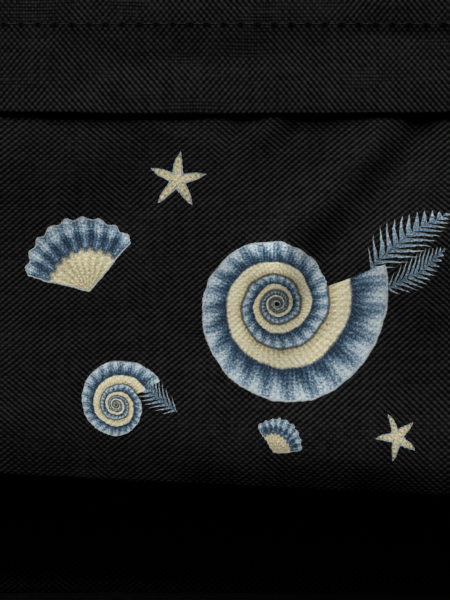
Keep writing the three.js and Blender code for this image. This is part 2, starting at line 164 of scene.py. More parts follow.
@dataclass(frozen=True)
class Crease:
    """A soft valley or ridge in cloth along a line of points."""

    line: tuple[tuple[float, float], ...]
    width: float
    rise: float
    taper: tuple[float, float] = (-0.15, 0.25)

    def at(self, x: Grid, z: Grid) -> Grid:
        """Reads the crease's height.

        Args:
            x: Places along the bag's width, in metres.
            z: Heights, in metres.

        Returns:
            The height to add to the cloth, negative in a valley.
        """
        nearest = np.full(x.shape, np.inf)
        progress = np.zeros(x.shape)
        points = np.array(self.line) * MM
        count = len(points) - 1
        for index in range(count):
            start = points[index]
            step = points[index + 1] - start
            share = ((x - start[0]) * step[0] + (z - start[1]) * step[1]) / float(step @ step)
            share = np.clip(share, 0.0, 1.0)
            gap = np.hypot(x - start[0] - share * step[0], z - start[1] - share * step[1])
            closer = gap < nearest
            nearest = np.where(closer, gap, nearest)
            progress = np.where(closer, (index + share) / count, progress)
        fade = ease(progress, *self.taper) * ease(1.0 - progress, *self.taper)
        return self.rise * MM * bump(nearest, 0.0, self.width * MM) * fade


def rolled_steps(
    low: float, high: float, low_roll: float, high_roll: float, step: float
) -> tuple[Grid, Grid]:
    """Places from one rim to the other, closer together where the cloth rolls over.

    Args:
        low: The first rim.
        high: The last rim.
        low_roll: Radius of the roll at the first rim, or 0.
        high_roll: Radius of the roll at the last rim, or 0.
        step: Distance between places along the cloth.

    Returns:
        The places, and their distance along the cloth from the first rim.
    """
    def quarter(radius: float, closed: bool) -> Grid:
        """Evenly spaced angles over a quarter turn, with at least three of them."""
        return np.linspace(0.0, math.pi / 2.0, max(3, round(radius * 1.57 / step)), endpoint=closed)

    places = []
    lengths = []
    travelled = 0.0
    if low_roll > 0.0:
        turn = quarter(low_roll, False)
        places.append(low + low_roll * (1.0 - np.cos(turn)))
        lengths.append(low_roll * turn)
        travelled = low_roll * math.pi / 2.0
    flat = high - high_roll - low - low_roll
    middle = np.linspace(0.0, flat, max(2, round(flat / step)), endpoint=high_roll <= 0.0)
    places.append(low + low_roll + middle)
    lengths.append(travelled + middle)
    travelled += flat
    if high_roll > 0.0:
        turn = quarter(high_roll, True)
        places.append(high - high_roll + high_roll * np.sin(turn))
        lengths.append(travelled + high_roll * turn)
    return np.concatenate(places), np.concatenate(lengths)


def smooth_through(points: Sequence[tuple[float, float]], at: Grid) -> Grid:
    """A smooth curve through points, read at given places.

    Args:
        points: Pairs of place and value, with rising places.
        at: Where to read the curve.

    Returns:
        The curve's values.
    """
    place = np.array([point[0] for point in points])
    value = np.array([point[1] for point in points])
    slope = np.gradient(value, place)
    index = np.clip(np.searchsorted(place, at) - 1, 0, len(place) - 2)
    span = place[index + 1] - place[index]
    t = np.clip((at - place[index]) / span, 0.0, 1.0)
    rise = value[index + 1] - value[index]
    start = slope[index] * span
    end = slope[index + 1] * span
    cubic = (start + end - 2.0 * rise) * t**3 + (3.0 * rise - 2.0 * start - end) * t**2
    return value[index] + start * t + cubic


# Outlines and meshes

@dataclass(frozen=True)
class RoundedOutline:
    """A rounded rectangle, upright and centred on the bag."""

    half_width: float
    low: float
    high: float
    radius: float

    def inset(self, by: float) -> "RoundedOutline":
        """The same outline, moved inwards by a distance."""
        return RoundedOutline(self.half_width - by, self.low + by, self.high - by, self.radius - by)

    def distance(self, x: Grid, z: Grid) -> Grid:
        """Distance from the outline to points inside it.

        Args:
            x: Places along the width.
            z: Heights.

        Returns:
            Distances, positive inside.
        """
        over_x = np.abs(x) - (self.half_width - self.radius)
        over_z = np.maximum(self.low + self.radius - z, z - (self.high - self.radius))
        in_corner = (over_x > 0.0) & (over_z > 0.0)
        side = np.minimum(self.half_width - np.abs(x), np.minimum(z - self.low, self.high - z))
        return np.where(in_corner, self.radius - np.hypot(over_x, over_z), side)

    def round_off(
        self, x: Grid, z: Grid, bottom: bool = True, top: bool = True
    ) -> tuple[Grid, Grid]:
        """Pulls a straight grid's corners onto the rounded corners.

        Args:
            x: Places along the width.
            z: Heights.
            bottom: Whether the lower corners are round.
            top: Whether the upper corners are round.

        Returns:
            The new places and heights.
        """
        radius, straight = self.radius, self.half_width - self.radius
        a = (np.abs(x) - straight) / radius
        low = (self.low + radius - z) / radius
        high = (z - (self.high - radius)) / radius
        for active, b, centre, way in (
            (bottom, low, self.low + radius, -1.0),
            (top, high, self.high - radius, 1.0),
        ):
            corner = (a > 0.0) & (b > 0.0) & active
            near_x = np.sign(x) * (straight + radius * a * np.sqrt(np.abs(1.0 - b * b / 2.0)))
            near_z = centre + way * radius * b * np.sqrt(np.abs(1.0 - a * a / 2.0))
            x = np.where(corner, near_x, x)
            z = np.where(corner, near_z, z)
        return x, z

    def walk(self, step: float, start: float = 0.0, stop: float = 1.0) -> tuple[Grid, Grid, Grid]:
        """Walks round the outline from the middle of the top, anticlockwise seen from the front.

        Args:
            step: Distance between points.
            start: Share of the way round at which the walk starts.
            stop: Share of the way round at which it stops.

        Returns:
            Points, outward directions, and distances travelled.
        """
        across = self.half_width - self.radius
        up = self.high - self.low - 2.0 * self.radius
        arc = self.radius * math.pi / 2.0
        spans = [across, arc, up, arc, 2.0 * across, arc, up, arc, across]
        total = sum(spans)
        count = max(8, round((stop - start) * total / step))
        travel = np.linspace(start * total, stop * total, count + 1)
        left, right = -across, across
        bottom, top = self.low + self.radius, self.high - self.radius
        pieces = [
            ((0.0, self.high), (-1.0, 0.0), math.pi / 2.0),
            ((left, top), None, math.pi / 2.0),
            ((-self.half_width, top), (0.0, -1.0), math.pi),
            ((left, bottom), None, math.pi),
            ((left, self.low), (1.0, 0.0), 1.5 * math.pi),
            ((right, bottom), None, 1.5 * math.pi),
            ((self.half_width, bottom), (0.0, 1.0), 2.0 * math.pi),
            ((right, top), None, 2.0 * math.pi),
            ((right, self.high), (-1.0, 0.0), 2.5 * math.pi),
        ]
        points = np.zeros((len(travel), 2))
        outward = np.zeros((len(travel), 2))
        begun = 0.0
        for span, (origin, heading, angle) in zip(spans, pieces):
            here = (travel >= begun - 1e-9) & (travel <= begun + span + 1e-9)
            along = travel[here] - begun
            if heading is None:
                turn = angle + along / self.radius
                facing = np.stack([np.cos(turn), np.sin(turn)], axis=1)
                points[here] = np.array(origin) + self.radius * facing
            else:
                facing = np.tile([math.cos(angle), math.sin(angle)], (len(along), 1))
                points[here] = np.array(origin) + along[:, None] * np.array(heading)
            outward[here] = facing
            begun += span
        return points, outward, travel - travel[0]


def link_object(name: str, data: bpy.types.ID) -> Object:
    """Adds an object with its data to the scene, at the origin."""
    made = bpy.data.objects.new(name, data)
    bpy.context.scene.collection.objects.link(made)
    return made


def shade_smooth(mesh: Mesh) -> None:
    """Shades every face of a mesh smoothly."""
    mesh.polygons.foreach_set("use_smooth", [True] * len(mesh.polygons))


def painted_highlight_lean(places: Grid, cloth: Grid, seed: int, bias: float) -> Grid:
    """How far the weave's lit rows lean, a painted highlight that follows the way that the cloth
    faces.

    Args:
        places: Rows by columns by 3, in metres.
        cloth: Rows by columns by 2, the distance along the cloth both ways.
        seed: Seed of the slow drift in flat cloth.
        bias: Which way flat cloth leans on the whole, positive for rows that climb.

    Returns:
        1 where all rows climb to the right, 0 where all fall to the right.
    """
    patch, least_step, steepest, pull, reach = 34 * MM, 0.05 * MM, 0.3, 16.0, 0.25
    outwards = -places[..., 1]
    steps = np.maximum(np.hypot(*np.gradient(places[..., 0])), least_step)
    # Painted highlight: the cloth's sideways tilt sets which diagonal rows look lit
    tilt = np.gradient(outwards, axis=1) / steps
    patches = Unevenness(seed, patch).at(cloth[..., 0], cloth[..., 1])
    return 0.5 + reach * np.tanh(bias + pull * np.clip(tilt, -steepest, steepest) + 1.0 * patches)


def sheet_mesh(
    name: str, places: Grid, cloth: Grid, merge: bool = False, bias: float = 0.5
) -> Object:
    """Makes one smooth sheet of faces from a grid of places.

    Args:
        name: Name of the piece.
        places: Rows by columns by 3, in metres.
        cloth: Rows by columns by 2, the distance along the cloth both ways, used as the UV map.
        merge: Whether the sheet closes on itself.
        bias: Which way the weave's rows lean on the whole.

    Returns:
        The new object.
    """
    rows, columns = places.shape[:2]
    mesh = bpy.data.meshes.new(name)
    index = np.arange(rows * columns).reshape(rows, columns)
    quads = stacked(index[:-1, :-1], index[:-1, 1:], index[1:, 1:], index[1:, :-1]).reshape(-1, 4)
    mesh.from_pydata(places.reshape(-1, 3).tolist(), [], quads.tolist())
    layer = mesh.uv_layers.new(name="Cloth")
    layer.data.foreach_set("uv", cloth.reshape(-1, 2)[quads.ravel()].astype(np.float32).ravel())
    lean = mesh.attributes.new("Lean", "FLOAT", "POINT")
    leans = painted_highlight_lean(places, cloth, len(name), bias)
    lean.data.foreach_set("value", leans.astype(np.float32).ravel())
    made = link_object(name, mesh)
    if merge:
        shell = bmesh.new()
        shell.from_mesh(mesh)
        bmesh.ops.remove_doubles(shell, verts=shell.verts, dist=0.02 * MM)
        shell.to_mesh(mesh)
        shell.free()
    shade_smooth(mesh)
    return made


def thicken(made: Object, thickness: float) -> None:
    """Gives a sheet its cloth thickness, behind its outer face.

    Args:
        made: The sheet, with its faces pointing outwards.
        thickness: The cloth's thickness.
    """
    wall = made.modifiers.new("Cloth thickness", "SOLIDIFY")
    wall.thickness = thickness
    wall.offset = -1.0
    wall.use_rim = True


def join_meshes(name: str, parts: Sequence[Object]) -> Object:
    """Joins objects into one mesh, with their finishes and cloth maps, and removes them.

    Args:
        name: Name of the joined piece.
        parts: The objects, all at the origin.

    Returns:
        The joined object.
    """
    mesh = bpy.data.meshes.new(name)
    corners, faces, finishes, maps = [], [], [], []
    for old in (part.data for part in parts):
        first_corner, first_finish = len(corners), len(mesh.materials)
        for material in old.materials:
            mesh.materials.append(material)
        corners.extend(vertex.co[:] for vertex in old.vertices)
        faces.extend([first_corner + index for index in face.vertices] for face in old.polygons)
        finishes.extend(first_finish + face.material_index for face in old.polygons)
        layer = np.zeros(len(old.loops) * 2, np.float32)
        old.uv_layers["Cloth"].data.foreach_get("uv", layer)
        maps.append(layer)
    mesh.from_pydata(corners, [], faces)
    mesh.uv_layers.new(name="Cloth").data.foreach_set("uv", np.concatenate(maps))
    mesh.polygons.foreach_set("material_index", finishes)
    shade_smooth(mesh)
    made = link_object(name, mesh)
    for part in parts:
        bpy.data.objects.remove(part)
    return made


def bake_modifiers(made: Object) -> None:
    """Turns an object with live modifiers into a plain mesh."""
    graph = bpy.context.evaluated_depsgraph_get()
    mesh = bpy.data.meshes.new_from_object(made.evaluated_get(graph))
    made.modifiers.clear()
    old = made.data
    made.data = mesh
    bpy.data.meshes.remove(old)


def move_mesh(made: Object, matrix: Matrix) -> None:
    """Moves a piece's mesh and leaves its object at the origin."""
    made.data.transform(matrix)
    made.matrix_world = Matrix.Identity(4)


def dress(
    made: Object, material: Material, slot: Slot, nodes: Sequence[str] = (), body: Body = Body.BAG
) -> None:
    """Gives a piece its finish, its body and the nodes that it stands for.

    Args:
        made: The finished piece.
        material: Its finish.
        slot: The record's material slot; not used.
        nodes: The solids that it replaces.
        body: The body that it moves with.
    """
    if material.name not in [m.name for m in made.data.materials if m]:
        made.data.materials.clear()
        made.data.materials.append(material)
    if nodes:
        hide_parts(*nodes)
    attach(made, body.value)
    log.info("%s: %d faces", made.name, len(made.data.polygons))


def tube_places(
    points: Grid, radii: Grid, sides: int, reference: tuple[float, float, float]
) -> tuple[Grid, Grid]:
    """Wraps a tube round a path.

    Args:
        points: The path, as rows of places.
        radii: The tube's radius at each point, 0 where an end closes.
        sides: Number of faces round it.
        reference: A direction that the path never follows.

    Returns:
        The tube's grid of places, and the distances along and round it.
    """
    tangent = np.gradient(points, axis=0)
    if np.allclose(points[0], points[-1]):
        tangent[0] = tangent[-1] = points[1] - points[-2]
    tangent /= np.linalg.norm(tangent, axis=1, keepdims=True)
    first = np.cross(np.array(reference), tangent)
    first /= np.linalg.norm(first, axis=1, keepdims=True)
    second = np.cross(tangent, first)
    turn = np.linspace(0.0, TURN, sides + 1)
    cosine, sine = np.cos(turn)[None, :, None], np.sin(turn)[None, :, None]
    ring = first[:, None] * cosine + second[:, None] * sine
    places = points[:, None] + ring * radii[:, None, None]
    travel = np.concatenate([[0.0], np.cumsum(np.linalg.norm(np.diff(points, axis=0), axis=1))])
    around, along = np.meshgrid(turn * float(np.max(radii)), travel)
    return places, stacked(along, around)


@dataclass(frozen=True)
class SewingPath:
    """A path over a surface, with the surface's outward direction."""

    points: Grid
    outward: Grid

    @staticmethod
    def along(
        places: Grid, row: int | None = None, column: int | None = None, lift: float = 0.0
    ) -> "SewingPath":
        """Takes the path along one row or one column of a sheet.

        Args:
            places: The sheet's grid of places.
            row: The row to follow.
            column: The column to follow.
            lift: How far above the sheet the path lies.

        Returns:
            The path.
        """
        facing = np.cross(np.gradient(places, axis=1), np.gradient(places, axis=0))
        facing /= np.maximum(np.linalg.norm(facing, axis=-1, keepdims=True), 1e-12)
        chosen = (row, slice(None)) if row is not None else (slice(None), column)
        return SewingPath(places[chosen] + lift * facing[chosen], facing[chosen])

    def between(self, start: float, stop: float) -> "SewingPath":
        """The part of the path between two shares of its points."""
        count = len(self.points)
        cut = slice(round(start * (count - 1)), round(stop * (count - 1)) + 1)
        return SewingPath(self.points[cut], self.outward[cut])


def repeat_tree() -> NodeTree:
    """Geometry nodes that repeat one shape along every path of a wire mesh."""
    known = bpy.data.node_groups.get("Repeat along paths")
    if known:
        return known
    tree = bpy.data.node_groups.new("Repeat along paths", "GeometryNodeTree")
    sockets = [
        ("Paths", "NodeSocketGeometry", None), ("Shape", "NodeSocketObject", None),
        ("Pitch", FLOAT, 4.0 * MM), ("Unevenness", FLOAT, 0.0), ("Seed", "NodeSocketInt", 1),
        ("Finish", "NodeSocketMaterial", None),
    ]
    for label, kind, default in sockets:
        socket = tree.interface.new_socket(name=label, in_out="INPUT", socket_type=kind)
        if default is not None:
            socket.default_value = default
    tree.interface.new_socket(name="Pieces", in_out="OUTPUT", socket_type="NodeSocketGeometry")
    nodes = Nodes(tree)
    given = nodes.add("NodeGroupInput").outputs

    def then(kind: str, inputs: dict, **settings: object) -> bpy.types.bpy_prop_collection:
        """Adds one node, feeds it and gives its outputs."""
        return nodes.fed(nodes.add(kind, **settings), inputs).outputs

    curve = then("GeometryNodeMeshToCurve", {"Mesh": given["Paths"]})
    spaced = then(
        "GeometryNodeResampleCurve", {"Curve": curve[0], "Length": given["Pitch"]}, mode="LENGTH"
    )
    shape = then("GeometryNodeObjectInfo", {"Object": given["Shape"]})
    ends = then("GeometryNodeCurveEndpointSelection", {"Start Size": 0, "End Size": 1})
    inside = then("FunctionNodeBooleanMath", {0: ends[0]}, operation="NOT")
    tangent = then("GeometryNodeInputTangent", {})
    heading = then(
        "FunctionNodeAlignRotationToVector", {"Vector": tangent[0]}, axis="X", pivot_axis="AUTO"
    )
    outward = then("GeometryNodeInputNamedAttribute", {"Name": "Outward"}, data_type="FLOAT_VECTOR")
    facing = then(
        "FunctionNodeAlignRotationToVector",
        {"Rotation": heading[0], "Vector": outward["Attribute"]}, axis="Z", pivot_axis="X",
    )
    uneven = Scalar(nodes, given["Unevenness"])
    size = then(
        "FunctionNodeRandomValue",
        {2: nodes.math("SUBTRACT", 1.0, uneven), 3: nodes.math("ADD", 1.0, uneven),
         "Seed": given["Seed"]}, data_type="FLOAT",
    )
    copies = then("GeometryNodeInstanceOnPoints", {
        "Points": spaced[0], "Selection": inside[0], "Instance": shape["Geometry"],
        "Rotation": facing[0], "Scale": size[1],
    })
    real = then("GeometryNodeRealizeInstances", {0: copies[0]})
    finished = then(
        "GeometryNodeSetMaterial", {"Geometry": real[0], "Material": given["Finish"]}
    )
    then("NodeGroupOutput", {"Pieces": finished[0]})
    return tree


@dataclass(frozen=True)
class Repeat:
    """A shape repeated at an even pitch along paths."""

    pitch: float
    unevenness: float = 0.0
    seed: int = 1

    def make(
        self, name: str, paths: Sequence[SewingPath], shape: Object, finish: Material
    ) -> Object:
        """Places the shape.

        Args:
            name: Name of the result.
            paths: Where it repeats.
            shape: The shape, along +X with +Z outwards.
            finish: Its material.

        Returns:
            One plain mesh with all the copies.
        """
        mesh = bpy.data.meshes.new(name)
        points = np.concatenate([path.points for path in paths])
        edges = []
        first = 0
        for path in paths:
            last = first + len(path.points) - 1
            edges.extend((index, index + 1) for index in range(first, last))
            first = last + 1
        mesh.from_pydata(points.tolist(), edges, [])
        outward = np.concatenate([path.outward for path in paths]).astype(np.float32)
        mark = mesh.attributes.new("Outward", "FLOAT_VECTOR", "POINT")
        mark.data.foreach_set("vector", outward.ravel())
        made = link_object(name, mesh)
        tree = repeat_tree()
        modifier = made.modifiers.new("Repeat", "NODES")
        modifier.node_group = tree
        values = {"Shape": shape, "Pitch": self.pitch, "Unevenness": self.unevenness,
                  "Seed": self.seed, "Finish": finish}
        for socket in tree.interface.items_tree:
            if socket.name in values:
                modifier[socket.identifier] = values[socket.name]
        bake_modifiers(made)
        shade_smooth(made.data)
        return made


@dataclass(frozen=True)
class Stitching:
    """Lockstitching: a thread that dips into a needle hole between each two stitches."""

    pitch: float = 3.4 * MM
    thread: float = 0.24 * MM
    hole: float = 1.0 * MM
    unevenness: float = 0.05

    def stitch_shape(self) -> Object:
        """One stitch: a thread that rises out of its hole and dips into the next."""
        share = np.linspace(0.0, 1.0, 9)
        gap, rise, sunk = 0.04, 0.6, 0.95
        height = rise * self.thread * (1.0 - (2.0 * share - 1.0) ** 4) - sunk * self.thread
        points = stacked((gap + (1.0 - 2.0 * gap) * share) * self.pitch, 0.0 * share, height)
        radii = self.thread * np.array([0.0, 0.7, 0.92, 1.0, 1.0, 1.0, 0.92, 0.7, 0.0])
        places, cloth = tube_places(points, radii, 6, (0.0, 0.0, 1.0))
        return sheet_mesh("stitch_shape", places, cloth, merge=True)

    def hole_shape(self) -> Object:
        """One needle hole: a small dish, dark with painted shade."""
        turn = np.linspace(0.0, TURN, 11)
        rings = np.array([0.0, 0.6, 1.0, 1.15])
        heights = np.array([0.08, 0.10, 0.08, -0.12]) * MM
        half_long, half_wide = 0.8 * self.hole, 0.5 * self.hole
        x = half_long * rings[:, None] * np.cos(turn)[None]
        y = half_wide * rings[:, None] * np.sin(turn)[None]
        places = stacked(x, y, np.broadcast_to(heights[:, None], x.shape))[::-1]
        return sheet_mesh("hole_shape", places, stacked(x, y)[::-1], merge=True)

    def sew(
        self, name: str, paths: Sequence[SewingPath], finishes: "Finishes", slot: Slot
    ) -> None:
        """Sews along paths.

        Args:
            name: Name of the piece.
            paths: The seams.
            finishes: All finishes.
            slot: The material slot of the sewn cloth.
        """
        shapes = [self.stitch_shape(), self.hole_shape()]
        repeat = Repeat(self.pitch, self.unevenness, len(name))
        threads = repeat.make(name + "_threads", paths, shapes[0], finishes.thread)
        holes = repeat.make(name + "_holes", paths, shapes[1], finishes.hole)
        for shape in shapes:
            bpy.data.objects.remove(shape)
        dress(join_meshes(name, [threads, holes]), finishes.thread, slot)


def softened_copy(node: str, name: str, edge: float) -> Object:
    """Copies a rigid solid with its edges rounded and their wear marked.

    Args:
        node: The solid to copy.
        name: Name of the new piece.
        edge: Radius of its edges.

    Returns:
        The copy.
    """
    level, sharpest, crease = math.radians(1.0), math.radians(28.0), math.radians(40.0)
    shell = bmesh.new()
    shell.from_mesh(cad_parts[node].data)
    bmesh.ops.remove_doubles(shell, verts=shell.verts, dist=0.01 * MM)
    bmesh.ops.dissolve_limit(shell, angle_limit=level, verts=shell.verts, edges=shell.edges)
    sharp = [
        seam for seam in shell.edges
        if len(seam.link_faces) == 2 and seam.calc_face_angle() > sharpest
    ]
    rounded = bmesh.ops.bevel(
        shell, geom=sharp, offset=edge, segments=3, profile=0.5, affect="EDGES", clamp_overlap=True
    )
    rims = set(rounded["faces"])
    widest_rim = (4.0 * edge) ** 2
    flat = [face for face in shell.faces if face not in rims and face.calc_area() > widest_rim]
    bmesh.ops.inset_region(
        shell, faces=flat, thickness=edge, use_boundary=True, use_even_offset=True
    )
    unworn = {vertex for face in flat for vertex in face.verts}
    mesh = bpy.data.meshes.new(name)
    marks = [0.0 if vertex in unworn else 1.0 for vertex in shell.verts]
    shell.to_mesh(mesh)
    shell.free()
    mesh.attributes.new("Edge", "FLOAT", "POINT").data.foreach_set("value", marks)
    shade_smooth(mesh)
    mesh.set_sharp_from_angle(angle=crease)
    return link_object(name, mesh)


# Shader formulas

class Scalar:
    """A number that varies over a surface, written with ordinary operators."""

    def __init__(self, nodes: "Nodes", socket: Socket) -> None:
        """Wraps a socket of a node tree."""
        self.nodes = nodes
        self.socket = socket

    def __add__(self, other: "Scalar | float") -> "Scalar":
        """The sum."""
        return self.nodes.math("ADD", self, other)

    __radd__ = __add__

    def __sub__(self, other: "Scalar | float") -> "Scalar":
        """The difference."""
        return self.nodes.math("SUBTRACT", self, other)

    def __rsub__(self, other: float) -> "Scalar":
        """The difference from a plain number."""
        return self.nodes.math("SUBTRACT", other, self)

    def __mul__(self, other: "Scalar | float") -> "Scalar":
        """The product."""
        return self.nodes.math("MULTIPLY", self, other)

    __rmul__ = __mul__

    def __truediv__(self, other: "Scalar | float") -> "Scalar":
        """The quotient."""
        return self.nodes.math("DIVIDE", self, other)

    def cos(self) -> "Scalar":
        """The cosine, in radians."""
        return self.nodes.math("COSINE", self)

    def wave(self) -> "Scalar":
        """A cosine wave with a crest at every whole number."""
        return (self * TURN).cos()

    def sin(self) -> "Scalar":
        """The sine, in radians."""
        return self.nodes.math("SINE", self)

    def size(self) -> "Scalar":
        """The value without its sign."""
        return self.nodes.math("ABSOLUTE", self)

    def floor(self) -> "Scalar":
        """The next whole number down."""
        return self.nodes.math("FLOOR", self)

    def fraction(self) -> "Scalar":
        """What is left above the next whole number down."""
        return self.nodes.math("FRACT", self)

    def power(self, exponent: float) -> "Scalar":
        """The value raised to a power."""
        return self.nodes.math("POWER", self, exponent)

    def least(self, other: "Scalar | float") -> "Scalar":
        """The smaller of two values."""
        return self.nodes.math("MINIMUM", self, other)

    def most(self, other: "Scalar | float") -> "Scalar":
        """The larger of two values."""
        return self.nodes.math("MAXIMUM", self, other)

    def step(self, low: float, high: float) -> "Scalar":
        """A smooth step from 0 at low to 1 at high, falling where low is the larger."""
        return self.nodes.ramp(self, low, high)


class Nodes:
    """Adds nodes to one tree and links them."""

    def __init__(self, tree: NodeTree) -> None:
        """Takes the tree to work in."""
        self.tree = tree

    def add(self, kind: str, **settings: object) -> Node:
        """Adds a node.

        Args:
            kind: The node's type name.
            settings: Properties to set on it.

        Returns:
            The node.
        """
        node = self.tree.nodes.new(kind)
        for name, value in settings.items():
            setattr(node, name, value)
        return node

    def feed(self, socket: Socket, value: object) -> None:
        """Links a value into a socket, or sets the socket where it is a plain value."""
        if isinstance(value, Scalar):
            self.tree.links.new(value.socket, socket)
        elif isinstance(value, Socket):
            self.tree.links.new(value, socket)
        else:
            socket.default_value = value

    def fed(self, node: Node, inputs: dict) -> Node:
        """Feeds a node's inputs by their labels or places."""
        for label, value in inputs.items():
            self.feed(node.inputs[label], value)
        return node

    def cloth(self) -> Socket:
        """The distances along the cloth both ways."""
        return self.add("ShaderNodeUVMap", uv_map="Cloth").outputs[0]

    def place(self) -> Socket:
        """The place in metres."""
        return self.add("ShaderNodeTexCoord").outputs["Object"]

    def math(self, operation: str, *values: "Scalar | float") -> Scalar:
        """One calculation.

        Args:
            operation: Name of the operation.
            values: Its inputs.

        Returns:
            The result.
        """
        node = self.add("ShaderNodeMath", operation=operation)
        for socket, value in zip(node.inputs, values):
            self.feed(socket, value)
        return Scalar(self, node.outputs[0])

    def ramp(self, value: Scalar, low: float, high: float) -> Scalar:
        """A smooth step of a value from 0 at low to 1 at high."""
        first, last = (0.0, 1.0) if low <= high else (1.0, 0.0)
        node = self.fed(self.add("ShaderNodeMapRange", interpolation_type="SMOOTHSTEP"), {
            "Value": value, "From Min": min(low, high), "From Max": max(low, high),
            "To Min": first, "To Max": last,
        })
        return Scalar(self, node.outputs["Result"])

    def point(
        self, x: "Scalar | float", y: "Scalar | float", z: "Scalar | float" = 0.0
    ) -> Socket:
        """Three values as one vector."""
        return self.fed(self.add("ShaderNodeCombineXYZ"), {0: x, 1: y, 2: z}).outputs[0]

    def parts(self, vector: Socket) -> tuple[Scalar, Scalar, Scalar]:
        """The three values of a vector."""
        outputs = self.fed(self.add("ShaderNodeSeparateXYZ"), {0: vector}).outputs
        return Scalar(self, outputs[0]), Scalar(self, outputs[1]), Scalar(self, outputs[2])

    def noise(
        self, vector: Socket, scale: float, detail: float = 2.0, rough: float = 0.5
    ) -> Scalar:
        """Smooth noise around 0.5.

        Args:
            vector: Where to read it.
            scale: Bumps per metre.
            detail: How many finer layers it has.
            rough: How strong the finer layers are.

        Returns:
            The noise.
        """
        node = self.fed(self.add("ShaderNodeTexNoise"), {
            "Vector": vector, "Scale": scale, "Detail": detail, "Roughness": rough,
        })
        return Scalar(self, node.outputs[0])

    def speckle(self, vector: Socket) -> Scalar:
        """A different random value for each whole cell of a vector."""
        node = self.add("ShaderNodeTexWhiteNoise", noise_dimensions="3D")
        return Scalar(self, self.fed(node, {"Vector": vector}).outputs["Value"])

    def blend(self, share: Scalar, first: object, second: object) -> Socket:
        """Mixes two colours.

        Args:
            share: 0 for the first colour, 1 for the second.
            first: A colour or socket.
            second: A colour or socket.

        Returns:
            The mixed colour.
        """
        factor, colour_a, colour_b, mixed = 0, 6, 7, 2
        node = self.add("ShaderNodeMix", data_type="RGBA", clamp_factor=True)
        return self.fed(node, {factor: share, colour_a: first, colour_b: second}).outputs[mixed]

    def scaled(self, colour: object, share: Scalar) -> Socket:
        """A colour made darker or lighter by a factor."""
        shown = colour[:3] if isinstance(colour, tuple) else colour
        node = self.add("ShaderNodeVectorMath", operation="SCALE")
        return self.fed(node, {0: shown, "Scale": share}).outputs[0]

    def ramped(self, share: Scalar, stops: Sequence[tuple[float, tuple]]) -> Socket:
        """A colour ramp.

        Args:
            share: Where to read it.
            stops: Pairs of place and linear colour, the first at 0 and the last at 1.

        Returns:
            The colour there.
        """
        ramp = self.fed(self.add("ShaderNodeValToRGB"), {0: share})
        elements = ramp.color_ramp.elements
        elements[0].color = stops[0][1]
        elements[1].color = stops[-1][1]
        for place, shade in stops[1:-1]:
            elements.new(place).color = shade
        return ramp.outputs[0]


def colour(red: float, green: float, blue: float) -> tuple[float, float, float, float]:
    """A display colour of 0 to 255 per channel as a linear one.

    Args:
        red: Red channel.
        green: Green channel.
        blue: Blue channel.

    Returns:
        The linear colour with full opacity.
    """
    def linear(channel: float) -> float:
        """One channel, made linear."""
        share = channel / 255.0
        return share / 12.92 if share <= 0.04045 else ((share + 0.055) / 1.055) ** 2.4

    return (linear(red), linear(green), linear(blue), 1.0)


def grey(level: float) -> tuple[float, float, float, float]:
    """A linear grey."""
    return (level, level, level, 1.0)


def new_group(
    name: str, inputs: dict[str, tuple[str, float | None]], outputs: dict[str, str]
) -> tuple[Nodes, dict, Node]:
    """Starts a shader node group.

    Args:
        name: The group's name.
        inputs: Socket type and default for each input.
        outputs: Socket type for each output.

    Returns:
        The node helper, the input sockets by name, and the output node.
    """
    tree = bpy.data.node_groups.new(name, "ShaderNodeTree")
    for label, (kind, default) in inputs.items():
        socket = tree.interface.new_socket(name=label, in_out="INPUT", socket_type=kind)
        if default is not None:
            socket.default_value = default
    for label, kind in outputs.items():
        tree.interface.new_socket(name=label, in_out="OUTPUT", socket_type=kind)
    nodes = Nodes(tree)
    entry = nodes.add("NodeGroupInput")
    given = {}
    for label, (kind, _) in inputs.items():
        socket = entry.outputs[label]
        given[label] = Scalar(nodes, socket) if kind == FLOAT else socket
    return nodes, given, nodes.add("NodeGroupOutput")


def use_group(nodes: Nodes, tree: NodeTree, **values: object) -> Node:
    """Puts a group into a tree.

    Args:
        nodes: The tree's helper.
        tree: The group.
        values: Its inputs, with underscores for spaces.

    Returns:
        The group's node.
    """
    inputs = {label.replace("_", " "): value for label, value in values.items()}
    return nodes.fed(nodes.add("ShaderNodeGroup", node_tree=tree), inputs)


